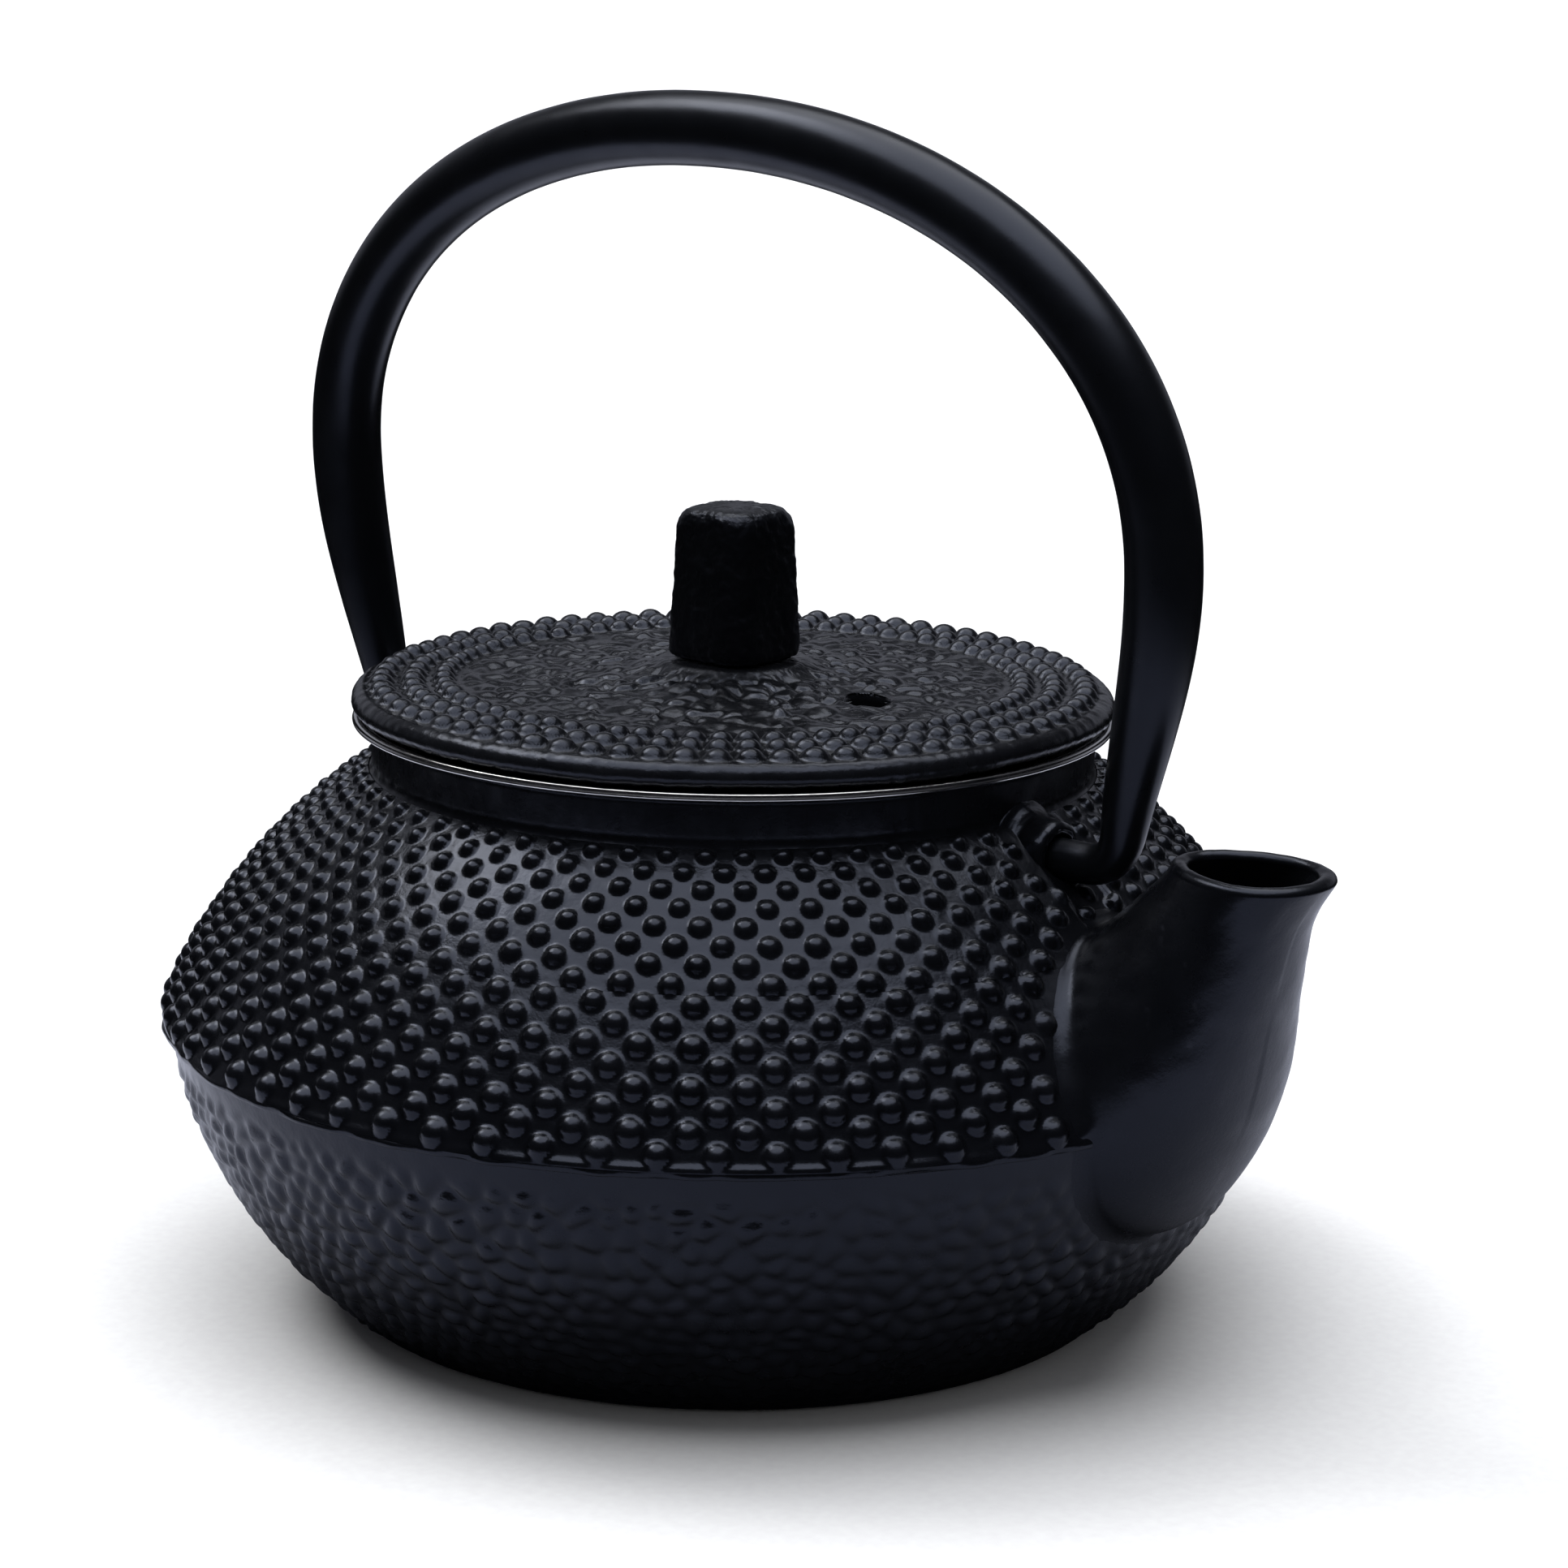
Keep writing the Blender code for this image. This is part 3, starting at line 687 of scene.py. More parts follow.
def seam_edge():
    """Lower lip of the upper casting: rounded, overhanging, and unevenly worn."""
    columns = 1200
    theta = circle(columns)
    over = arc(SHOULDER_LINE[-1], (BELLY_R, SEAM_Z - 0.25), 0.05, 8)
    under = arc((BELLY_R, SEAM_Z - 0.25), (BELLY_R - SEAM_STEP - 0.6, SEAM_Z - 0.45), 0.12, 8)
    line = np.concatenate([over, under[1:]])
    way = np.linspace(0, 1, len(line))[:, None]
    wave = 0.10 * grain((1, columns), 1, 9, 21) + 0.06 * grain((1, columns), 1, 3, 22)
    relief = wave * np.sin(math.pi * np.clip(way * 1.25, 0, 1))
    points = turned(line, columns, relief)
    keep = face_mask(np.full(len(line), SHOULDER_AT[-1]), theta)
    return skin("pot_seam_edge", points, pot_iron, keep)


def neck_piece():
    """Neck ring with its flat rim, down to the foot of the shoulder outside and the cavity inside."""
    columns = 900
    inner = NECK_R - WALL
    line = np.concatenate([
        [(inner, NECK_FOOT_Z - 1.0)],
        arc((inner, NECK_TOP_Z - 0.5), (inner + 0.5, NECK_TOP_Z), 0.14, 5),
        arc((NECK_R - 0.5, NECK_TOP_Z), (NECK_R, NECK_TOP_Z - 0.5), 0.14, 5),
        arc((NECK_R, NECK_FOOT_Z + 0.9), (NECK_R + 0.28, NECK_FOOT_Z - 0.33), -0.12, 6),
    ])
    line, at = resample(line, 0.16)
    outside = smoothstep(at, at[-1] - 5.0, at[-1] - 4.0)[:, None]
    fade = 1 - smoothstep(at, at[-1] - 0.5, at[-1])[:, None]
    shape = (len(line), columns)
    relief = (0.016 * grain(shape, 7, 1.2, 31) + 0.020 * grain(shape, 8, 12, 32)) * outside * fade
    points = turned(line, columns, relief)
    return skin("pot_neck", points, smooth_iron)


def belly_piece():
    """Lower casting, covered in irregular scales that lap over the ones below, down to its foot."""
    columns = 960
    foot = arc((BASE_R, BASE_Z), (FOOT_R, 0.0), 0.25, 4)
    line, at = resample(np.concatenate([BELLY_LINE, foot[1:]]), 0.345)
    theta = circle(columns)
    around = 112                    # scales round the pot
    rise = 2.25                     # height of a row of them
    shape = (len(line), columns)
    s = at[:, None] + 0.45 * grain(shape, 9, 9, 41)
    turn = theta / TURN * around + 0.16 * grain(shape, 8, 10, 42)
    size_v = line[:, 0, None] * TURN / around * np.ones(columns)
    first, second, value, offset = cells(s / rise + 1, turn, rise, size_v, around, 43)
    pillow = 1 - (1 - np.clip((second - first) / 2.0, 0, 1)) ** 2
    lap = 0.5 + 0.5 * np.clip(offset / rise, -1, 1)
    strength = smoothstep(at, 1.6, 4.2)[:, None] * (1 - smoothstep(at, at[-1] - 3.2, at[-1] - 1.2)[:, None])
    down = at + SHOULDER_AT[-1] + 0.8   # arc length from the neck, the step at the seam included
    distance = root_distance(down[:, None] + 0 * theta, theta * np.ones((len(at), 1)))
    strength = strength * smoothstep(distance, 0.6, 3.0)
    patches = np.clip(0.9 + 0.2 * grain(shape, 14, 16, 44), 0.6, 1.15)
    scales = pillow * (0.34 + 0.42 * lap + 0.20 * value) - 0.36
    relief = soften(strength * patches * np.maximum(scales, -0.19), 1)
    relief += 0.008 * grain(shape, 1.2, 1.2, 45)
    points = turned(line, columns, relief)
    keep = face_mask(down, theta)
    return skin("pot_belly", points, pot_iron, keep)


def base_piece():
    """Underside: a narrow foot ring round a shallow recess."""
    columns = 240
    line = np.concatenate([
        [(FOOT_R, 0.0), (FOOT_R - 3.0, 0.0)],
        arc((FOOT_R - 3.4, 0.1), (FOOT_R - 5.0, 0.7), -0.15, 5),
        [(FOOT_R - 12.0, 0.75), (FOOT_R - 24.0, 0.75), (AXIS_GAP, 0.75)],
    ])
    line, _ = resample(line, 0.8)
    relief = 0.02 * grain((len(line), columns), 2, 3, 51) * smoothstep(FOOT_R - line[:, 0], 0.5, 2.0)[:, None]
    points = turned(line, columns, relief)
    return skin("pot_base", points, smooth_iron)


def inside_piece():
    """Wall and floor of the cavity, open where the spout's channel starts."""
    columns = 720
    floor = [(BASE_R - 3.4, FLOOR_Z + 0.25), (BASE_R - 5.0, FLOOR_Z), (AXIS_GAP, FLOOR_Z)]
    line, _ = resample(np.concatenate([INNER_LINE, floor]), 0.5)
    line = line[::-1]
    shape = (len(line), columns)
    relief = 0.03 * grain(shape, 3, 4, 61) + 0.04 * grain(shape, 9, 14, 62)
    radius, height = line[:, 0, None], line[:, 1, None]
    beside = 1 - smoothstep(np.abs(radius * np.sin(circle(columns))), 1.5, 5.5)
    rising = smoothstep(height, PIVOT_Z - 5.7, PIVOT_Z - 3.1)
    falling = 1 - smoothstep(height, PIVOT_Z, PIVOT_Z + 2.4)
    relief += PEG_BOSS * beside * rising * falling
    points = turned(line, columns, relief)
    leaves = leave_share(CHANNEL_SECTIONS, INNER_LINE, 64)
    rim = tube_point(CHANNEL_SECTIONS, leaves, circle(64))
    centre, half = (rim.min(0) + rim.max(0)) / 2, (rim.max(0) - rim.min(0)) / 2
    mid = (points[:-1] + points[1:]) / 2
    across, up = (mid[..., 1] - centre[1]) / (half[1] + 0.3), (mid[..., 2] - centre[2]) / (half[2] + 0.3)
    away = across ** 2 + up ** 2
    keep = (away > 1) | (mid[..., 0] < 0)
    return skin("pot_inside", points, inner_enamel, keep)


def spout_piece():
    """Spout with a filleted root, a rounded lip and the channel inside it, as one sheet."""
    angles = SPOUT_ANGLES
    width = 1.3 + 0.9 * np.sin(angles) ** 2
    tangent = unit(smooth_loop(np.roll(ROOT_LOOP, -1, axis=0) - np.roll(ROOT_LOOP, 1, axis=0), 8))
    outward = np.stack([tangent[:, 1], -tangent[:, 0]], axis=1)
    outward *= np.sign(((ROOT_LOOP - (ROOT_S.mean(), 0.0)) * outward).sum(1).mean())

    def skirt(reach, lift):
        """Points reach away from the root, lift above the pot's surface."""
        theta = ROOT_THETA + reach * outward[:, 1] / ROOT_SCALE
        return surface_point(ROOT_S + reach * outward[:, 0], theta, OUTER_LINE, OUTER_AT, lift)

    foot, foot_sunk = skirt(width, -0.08), skirt(width + 0.7, -0.35)
    corner = tube_point(SPOUT_SECTIONS, SPOUT_LEAVES, angles)
    length = np.linalg.norm(tube_point(SPOUT_SECTIONS, SPOUT_LEAVES + 0.02, angles) - corner, axis=1) / 0.02
    start = SPOUT_LEAVES + width / length
    outer = np.stack([tube_point(SPOUT_SECTIONS, start + (1 - start) * w, angles)
                      for w in np.linspace(1, 0, 130)])
    fillet = [(1 - u) ** 2 * outer[-1] + 2 * u * (1 - u) * corner + u * u * foot
              for u in np.linspace(0, 1, 14)[1:]]
    leaves = smooth_loop(leave_share(CHANNEL_SECTIONS, INNER_LINE, SPOUT_COLUMNS), 6)
    inner = np.stack([tube_point(CHANNEL_SECTIONS, leaves + (1 - leaves) * w, angles)
                      for w in np.linspace(0, 1, 70)])
    rim_out = unit(inner[0] - inner[0].mean(0))
    inward = -unit(inner[0] * (1, 1, 0))
    flange = np.stack([inner[0] + rim_out * 1.6 + inward * -0.3, inner[0] + rim_out * 1.5 + inward * 0.25,
                       inner[0] + rim_out * 0.3 + inward * 0.35])
    top_in, top_out = inner[-1], outer[0]
    middle = (top_in + top_out) / 2
    lip = [middle + math.cos(a) * (top_in - middle) + math.sin(a) * np.array((0, 0, LIP_RISE))
           for a in np.linspace(0, math.pi, 12)[1:-1]]
    points = np.concatenate([flange, inner, lip, outer, fillet, [foot_sunk]])
    shape = points.shape[:2]
    normals = sheet_normals(points)
    grained = np.ones(shape[0])
    grained[:len(flange)] = 0
    grained[-2:] = 0
    around = np.broadcast_to(angles / TURN, shape) * SPOUT_GRAIN_SPAN
    height = points[..., 2]
    relief = 0.014 * plane_grain(around, height, 71, 1.2) + 0.03 * plane_grain(around, height, 72, 6.0)
    points = points + normals * (relief * grained[:, None])[..., None]
    return skin("pot_spout", points, smooth_iron)


def lug_piece(side, end):
    """Ear with a rounded rim and the peg's hole, sunk in the shoulder and filleted to the neck."""
    columns = 128
    angles = circle(columns)

    def outline(grow):
        y = (LUG_R + grow) * np.cos(angles)
        z = (LUG_R + grow) * np.sin(angles)
        low = np.sin(angles) < 0
        z = np.where(low, z * 1.75, z)
        y = np.where(low, y * (1 + 0.12 * np.abs(np.sin(angles))), y)
        return y, z

    # Depth behind the ear's face, with the growth over LUG_R outside and the radius in the hole
    bottom = LUG_FACE_X - PEG_TIP_X + 0.3
    outside = ((5.6, 1.6), (4.6, 1.35), (4.2, 0.8), (3.7, 0.4), (3.0, 0.12), (2.0, 0.0), (1.0, -0.06),
               (0.55, -0.14), (0.25, -0.3), (0.07, -0.55), (0.0, -0.85))
    hole = ((0.0, PEG_HOLE_R + 0.35), (0.1, PEG_HOLE_R + 0.12), (0.4, PEG_HOLE_R), (bottom, PEG_HOLE_R),
            (bottom, 0.02))
    rings = [(depth, *outline(grow)) for depth, grow in outside]
    rings += [(depth, radius * np.cos(angles), radius * np.sin(angles)) for depth, radius in hole]
    points = dense_rows(np.stack([np.stack([np.full(columns, LUG_FACE_X - depth), y, PIVOT_Z + z], axis=1)
                                  for depth, y, z in rings]), 0.22)
    points = points + sheet_normals(points) * (0.03 * grain(points.shape[:2], 2.2, 2.2, 81))[..., None]
    points[..., 0] *= side
    if side < 0:
        points = points[:, ::-1]
    return skin("pot_lug_" + end, points, pot_iron)


def make_pot():
    middle = STUD_FIRST + (STUD_ROWS - 1) / 2 * STUD_PITCH
    pieces = [
        neck_piece(),
        shoulder_piece("pot_shoulder_upper", 0.4, middle, columns=1122, step=0.26, seed=11),
        shoulder_piece("pot_shoulder_lower", middle, SHOULDER_AT[-1], columns=1254, step=0.27, seed=13),
        seam_edge(),
        belly_piece(),
        base_piece(),
        spout_piece(),
        lug_piece(1, "front"),
        lug_piece(-1, "rear"),
        inside_piece(),
    ]
    for piece in pieces:
        add_piece(piece, "pot", "enamelled_iron", *POT_NODES)


# ---------------------------------------------------------------- bail

def make_bail():
    """Tapered round tube along the arch, from one peg to the other."""
    half = [(PEG_TIP_X, PIVOT_Z), (PEG_TIP_X + 3.2, PIVOT_Z)]
    bend = np.linspace(-math.pi / 2, -LIMB_SLOPE, 24)
    half += [(ELBOW_X + ELBOW_R * math.cos(a), PIVOT_Z + ELBOW_R + ELBOW_R * math.sin(a)) for a in bend]
    low = np.array(half[-1])
    high = np.array((BAIL_HALF_WIDTH, BAIL_SIDE_Z))
    reach = np.linalg.norm(high - low) / 3
    pull_low = low + reach * np.array((math.sin(LIMB_SLOPE), math.cos(LIMB_SLOPE)))
    pull_high = high - reach * np.array((0, 1))
    for t in np.linspace(0, 1, 40)[1:]:
        half.append(tuple((1 - t) ** 3 * low + 3 * t * (1 - t) ** 2 * pull_low
                          + 3 * t * t * (1 - t) * pull_high + t ** 3 * high))
    for a in np.linspace(0, math.pi / 2, 80)[1:]:
        half.append((BAIL_HALF_WIDTH * max(math.cos(a), 0) ** (2 / BAIL_SQUARENESS),
                     BAIL_SIDE_Z + (BAIL_TOP_Z - BAIL_SIDE_Z) * math.sin(a) ** (2 / BAIL_SQUARENESS)))
    line = np.array(half + [(-x, z) for x, z in half[-2::-1]])
    line, _ = resample(line, 0.62)
    for _ in range(3):
        line[1:-1] = (line[:-2] + 2 * line[1:-1] + line[2:]) / 4
    share = np.clip((line[:, 1] - BAIL_TAPER_Z) / (BAIL_SIDE_Z - BAIL_TAPER_Z), 0, 1)
    radius = PEG_R + (BAIL_R - PEG_R) * np.sin(math.pi / 2 * share)
    normal = side_normals(line)
    columns = 72
    angles = circle(columns)
    # Four more rings at each end round off the pegs
    tip_radius = PEG_R * np.array((0.02, 0.5, 0.8, 0.94))
    tip_depth = np.array((0.0, 0.03, 0.12, 0.25))
    line, normal = np.pad(line, ((4, 4), (0, 0)), "edge"), np.pad(normal, ((4, 4), (0, 0)), "edge")
    line[:4, 0] += tip_depth
    line[-4:, 0] -= tip_depth[::-1]
    radius = np.concatenate([tip_radius, radius, tip_radius[::-1]])
    in_plane = np.stack([normal[:, 0], 0 * normal[:, 0], normal[:, 1]], axis=1)[:, None]
    across = np.cos(angles)[None, :, None] * in_plane
    side = np.sin(angles)[None, :, None] * np.array((0, 1, 0))
    shape = (len(line), columns)
    wobble = 1 + 0.0035 * grain(shape, 9, 8, 91) + 0.0012 * grain(shape, 1.5, 1.5, 92)
    centre = np.stack([line[:, 0], 0 * line[:, 0], line[:, 1] - PIVOT_Z], axis=1)[:, None]
    points = centre + (across + side) * (radius[:, None] * wobble)[..., None]
    lean = np.array(Matrix.Rotation(BAIL_LEAN, 3, "X"))
    points = points @ lean.T + np.array((0, 0, PIVOT_Z))
    add_piece(skin("bail_tube", points[:, ::-1], bail_enamel), "bail", "bail_enamel", "handle_bail")


# ---------------------------------------------------------------- lid and knob

# Top of the lid as (radius, z), from the rivet's hole over the boss to the rim
LID_TOP = (
    (STEM_HOLE_R, BOSS_TOP_Z), (7.1, BOSS_TOP_Z), (7.5, BOSS_TOP_Z - 0.1), (8.0, BOSS_TOP_Z - 0.35),
    (8.6, 66.27), (9.4, 66.04), (10.6, 65.83), (14.0, 65.4), (20.0, 64.95), (26.0, 64.70),
    (32.0, 64.45), (36.0, 64.28), (37.5, 64.1),
)


def lid_top(radius):
    """Height of the lid's top at a radius, before relief."""
    return np.interp(radius, *np.array(LID_TOP).T)


def vent_dip(x, y):
    """How far the casting sinks round the steam vent, more on one side of it."""
    lip = smoothstep((x - VENT_X) * 0.64 - y * 0.77, 0.0, 1.8)
    return (0.12 + 0.40 * lip) * (1 - smoothstep(np.hypot(x - VENT_X, y), VENT_R, VENT_R + 1.3))


def crown_piece():
    """Hammered middle of the lid, with the raised boss under the knob and the steam vent."""
    columns = 640
    low = [(r, z) for r, z in LID_TOP if r < CROWN_R] + [(CROWN_R, lid_top(CROWN_R))]
    line, _ = resample(low, 0.19)
    theta = circle(columns)
    x = line[:, 0, None] * np.cos(theta)
    y = line[:, 0, None] * np.sin(theta)
    shape = x.shape
    size_u, size_v = 2.1, 3.0
    warp_x, warp_y = plane_grain(x, y, 101), plane_grain(x, y, 102)
    first, second, value, _ = cells((x + 0.5 * warp_x + 40) / size_u, (y + 0.5 * warp_y + 40) / size_v,
                                    size_u, size_v, 60, 103, 0.42)
    pillow = 1 - (1 - np.clip((second - first) / 1.2, 0, 1)) ** 2
    off_boss = smoothstep(line[:, 0], 7.6, 9.8)[:, None]
    strength = off_boss * (1 - smoothstep(line[:, 0], CROWN_R - 0.7, CROWN_R)[:, None])
    ripple = plane_grain(x, y, 104, 1.3)
    strength = strength * smoothstep(np.hypot(x - VENT_X, y), VENT_R + 0.3, VENT_R + 1.6)
    relief = soften(strength * (pillow * (0.24 + 0.30 * value) + 0.12 * ripple - 0.27), 2)
    relief += 0.012 * grain(shape, 1.2, 1.6, 105)
    points = turned(line, columns, relief)
    away = np.hypot(points[..., 0] - VENT_X, points[..., 1])
    push = (away > VENT_R * 0.8) & (away < VENT_R + 0.12)
    edge = VENT_R * (1 + 0.05 * np.sin(3 * np.arctan2(points[..., 1], points[..., 0] - VENT_X) + 0.6))
    scale = np.where(push, edge / np.maximum(away, 1e-6), 1)
    points[..., 0] = VENT_X + (points[..., 0] - VENT_X) * scale
    points[..., 1] *= scale
    points[..., 2] -= vent_dip(points[..., 0], points[..., 1])
    middle = (points[:-1] + points[1:]) / 2
    middle = (middle + np.roll(middle, -1, axis=1)) / 2
    keep = np.hypot(middle[..., 0] - VENT_X, middle[..., 1]) > VENT_R * 0.93
    hole = []
    for radius, drop in ((VENT_R + 0.25, 0.08), (VENT_R, 0.3), (VENT_R - 0.06, 0.9)):
        ring = turned(np.array([(radius, 0.0)]), 64)[0] + np.array((VENT_X, 0, 0))
        ring[:, 2] = lid_top(np.hypot(ring[:, 0], ring[:, 1])) - vent_dip(ring[:, 0], ring[:, 1]) - drop
        hole.append(ring)
    foot = hole[-1].copy()
    foot[:, 2] = LID_UNDER_Z
    hole.append(foot)
    wall = np.stack(hole[::-1])
    return mesh_object("lid_crown", [(points, keep), (wall, None)], lid_iron)


def border_piece():
    """Border of the lid: three rings of beads, then a plain rounded rim down to its seat."""
    columns = BEADS_ROUND * 14
    top = [(CROWN_R, lid_top(CROWN_R))] + [(r, z) for r, z in LID_TOP if r > CROWN_R]
    edge = arc(top[-1], (LID_R, LID_SEAT_Z + 1.1), 0.5, 10)
    tuck = arc(edge[-1], (LID_R - 1.1, LID_SEAT_Z), 0.3, 7)
    line, _ = resample(np.concatenate([np.array(top), edge[1:], tuck[1:]]), 0.23)
    theta = circle(columns)
    radius = line[:, 0]
    shape = (len(line), columns)
    rng = np.random.default_rng(111)
    relief = np.zeros(shape)
    upper = np.nonzero(line[:, 1] > LID_EDGE_Z - 0.3)[0]
    k, off = nearest(theta, BEAD_PHASE, BEADS_ROUND)
    for ring in BEAD_RINGS:
        size = rng.uniform(0.95, 1.04, BEADS_ROUND)[k] * (ring / BEAD_RINGS[0]) ** 0.55
        height = rng.uniform(0.90, 1.05, BEADS_ROUND)[k]
        distance = np.hypot(radius[upper, None] - ring, off * radius[upper, None])
        relief[upper] = np.maximum(relief[upper], height * dome(distance / size, BEAD_R, BEAD_HEIGHT, 0.12))
    streak = smoothstep(radius, 37.4, 38.0)[:, None]
    relief += 0.010 * grain(shape, 1.3, 1.3, 112) + 0.026 * streak * grain(shape, 5, 1.5, 113)
    relief += 0.05 * streak * grain(shape, 7, 22, 114)
    points = turned(line, columns, relief)
    return skin("lid_border", points, lid_iron)


def underside_piece():
    """Seat, locating skirt and inner face of the lid."""
    skirt = 32.2
    inner = 29.6
    line = np.concatenate([
        [(LID_R - 1.1, LID_SEAT_Z), (skirt + 0.5, LID_SEAT_Z)],
        arc((skirt + 0.3, LID_SEAT_Z - 0.02), (skirt, LID_SEAT_Z - 0.4), -0.08, 4),
        arc((skirt, LID_SKIRT_Z + 0.5), (skirt - 0.5, LID_SKIRT_Z), 0.12, 5),
        arc((inner + 0.5, LID_SKIRT_Z), (inner, LID_SKIRT_Z + 0.5), 0.12, 5),
        arc((inner, LID_UNDER_Z - 0.8), (inner - 0.8, LID_UNDER_Z), -0.2, 5),
        [(STEM_HOLE_R, LID_UNDER_Z), (STEM_HOLE_R, BOSS_TOP_Z)],
    ])
    line, _ = resample(line, 0.4)
    columns = 480
    shape = (len(line), columns)
    flat = smoothstep(line[:, 0], 3.0, 4.0)[:, None]
    points = turned(line, columns, 0.015 * flat * grain(shape, 1.5, 2.5, 121))
    middle = (points[:-1] + points[1:]) / 2
    keep = np.hypot(middle[..., 0] - VENT_X, middle[..., 1]) > VENT_R
    return skin("lid_underside", points, lid_iron, keep)


def knob_piece():
    """Tapered block on a rounded square, rough cast, its top crowned and its foot tucked in."""
    columns = 300
    bottom, top = KNOB_LOW[2], KNOB_HIGH[2] + 0.3
    half = KNOB_HIGH[0]
    taper = 0.885
    squareness = 4.4
    line = np.concatenate([
        [(STEM_HOLE_R / half, bottom)],
        [(0.90, bottom - 0.15), (0.965, bottom + 0.05), (0.995, bottom + 0.5)],
        arc((1.0, bottom + 1.3), (taper, top - 1.9), 0.004, 6),
        [(taper - 0.010, top - 1.30), (taper - 0.034, top - 0.85), (taper - 0.085, top - 0.45),
         (taper - 0.16, top - 0.26), (taper - 0.28, top - 0.14), (taper - 0.50, top - 0.05), (0.004, top)],
    ])
    stretched, _ = resample(line * (half, 1), 0.13)
    angles = circle(columns)
    cosine, sine = np.abs(np.cos(angles)), np.abs(np.sin(angles))
    outline = (cosine ** squareness + sine ** squareness) ** (-1 / squareness)
    level = (stretched[:, 1] - bottom) / (top - bottom)
    near_top = smoothstep(level, 0.85, 1.0)[:, None]
    outline = outline[None] * (1 - 0.06 * near_top * (outline[None] - 1) / 0.18)
    radius = stretched[:, 0, None] * outline
    points = polar(radius, angles, stretched[:, 1, None])
    shape = radius.shape
    rough = 0.034 * grain(shape, 2.6, 2.6, 131) + 0.025 * grain(shape, 9, 9, 132)
    rough += 0.016 * grain(shape, 1.2, 1.2, 133)
    rough *= smoothstep(stretched[:, 0], 0.5, 2.5)[:, None]
    points = points[::-1]
    normals = sheet_normals(points)
    points = points + normals * (np.minimum(rough[::-1], 0.07) - 0.03)[..., None]
    return skin("knob_block", points, knob_iron)


def make_lid():
    for piece in (crown_piece(), border_piece(), underside_piece()):
        add_piece(piece, "lid", "lid_iron", "lid")
    add_piece(knob_piece(), "lid", "knob_iron", "lid_knob")
    rim, low, high = WASHER_HIGH[0], WASHER_LOW[2], WASHER_HIGH[2]
    bevel = 0.15
    line = [(STEM_HOLE_R, high), (rim - bevel, high), (rim, high - bevel), (rim, low + bevel),
            (rim - bevel, low), (STEM_HOLE_R, low), (STEM_HOLE_R, high)]
    add_piece(ring_piece("washer_ring", line, 96, 0.2, rivet_steel), "lid", "rivet_steel", "knob_washer")
    head, foot, tip = RIVET_HIGH[0], RIVET_LOW[2], RIVET_HIGH[2]
    neck = foot + STEM_HEAD_HEIGHT
    line = np.concatenate([
        [(0.02, tip), (STEM_R - 0.2, tip), (STEM_R, tip - 0.2), (STEM_R, neck), (head, neck)],
        arc((head, neck), (0.02, foot), 0.45, 14)[1:],
    ])
    add_piece(ring_piece("rivet_body", line, 96, 0.2, rivet_steel), "lid", "rivet_steel", "knob_rivet")


# ---------------------------------------------------------------- infuser

SHEET = 0.5                         # thickness of the steel
WIRE_R = 0.13
FLOOR_WIRE_R = 0.12


def collar_piece():
    """Sheet collar whose top is rolled out into a double-beaded rim."""
    wall = MESH_HIGH[0] + 0.9
    rim = COLLAR_HIGH[0]
    low, top = COLLAR_HIGH[2] - 0.8, COLLAR_HIGH[2] + 0.12
    bottom = COLLAR_LOW[2]
    line = np.concatenate([
        [(wall - SHEET, bottom), (wall - SHEET, low - 0.6)],
        arc((wall - SHEET, low - 0.6), (wall + 0.2, low + SHEET), 0.35, 8)[1:],
        [(rim - 1.3, low + SHEET)],
        arc((rim - 1.1, low + SHEET + 0.05), (rim - 0.15, top - 0.2), 0.18, 8),
        arc((rim - 0.1, top - 0.3), (rim - 0.06, top - 0.46), -0.03, 3),
        arc((rim - 0.1, top - 0.5), (rim - 0.3, low), 0.22, 8),
        [(wall + 0.9, low)],
        arc((wall + 0.9, low), (wall, low - 0.9), -0.25, 8)[1:],
        [(wall, bottom + 0.1), (wall - 0.1, bottom), (wall - SHEET, bottom)],
    ])
    return ring_piece("infuser_rim", line, 360, 0.12, rim_steel)


def wire_sheet(paths, radius, sides=4):
    """Points of thin tubes along many paths of equal length: (paths, steps, 3), as one list of sheets."""
    way = unit(np.gradient(paths, axis=1))
    side = unit(np.cross(way, np.array((0.31, 0.17, 0.93))))
    other = np.cross(way, side)
    cosine, sine = np.cos(circle(sides))[:, None], np.sin(circle(sides))[:, None]
    tubes = paths[:, :, None] + radius * (cosine * side[:, :, None] + sine * other[:, :, None])
    return [(tube, None) for tube in tubes]


def mesh_wall_pieces():
    """Woven steel wires of the basket's wall: uprights, and hoops that pass in and out of them."""
    radius = MESH_HIGH[0] - 0.25
    low, high = MESH_LOW[2], MESH_HIGH[2]
    uprights, hoops = 216, 42
    weave = 0.12
    levels = np.linspace(low, high, 2 * hoops + 1)
    rise = np.arange(len(levels))
    wave = weave * np.sin(math.pi * (rise - 0.5))
    paths = []
    for k in range(uprights):
        theta = TURN * k / uprights
        swing = radius + (wave if k % 2 else -wave) * np.where(rise % 2, 1, 0)
        paths.append(polar(swing, theta, levels))
    standing = mesh_object("mesh_uprights", wire_sheet(np.array(paths), WIRE_R), mesh_steel)
    paths = []
    steps = 2 * uprights
    theta = np.arange(steps + 1) * TURN / steps
    at_upright = np.arange(steps + 1) % 2 == 0
    for k in range(hoops):
        sign = np.where((np.arange(steps + 1) // 2) % 2 == k % 2, -1, 1)
        swing = radius + np.where(at_upright, sign * weave, 0)
        paths.append(polar(swing, theta, levels[2 * k + 1]))
    lying = mesh_object("mesh_hoops", wire_sheet(np.array(paths), WIRE_R), mesh_steel)
    return standing, lying


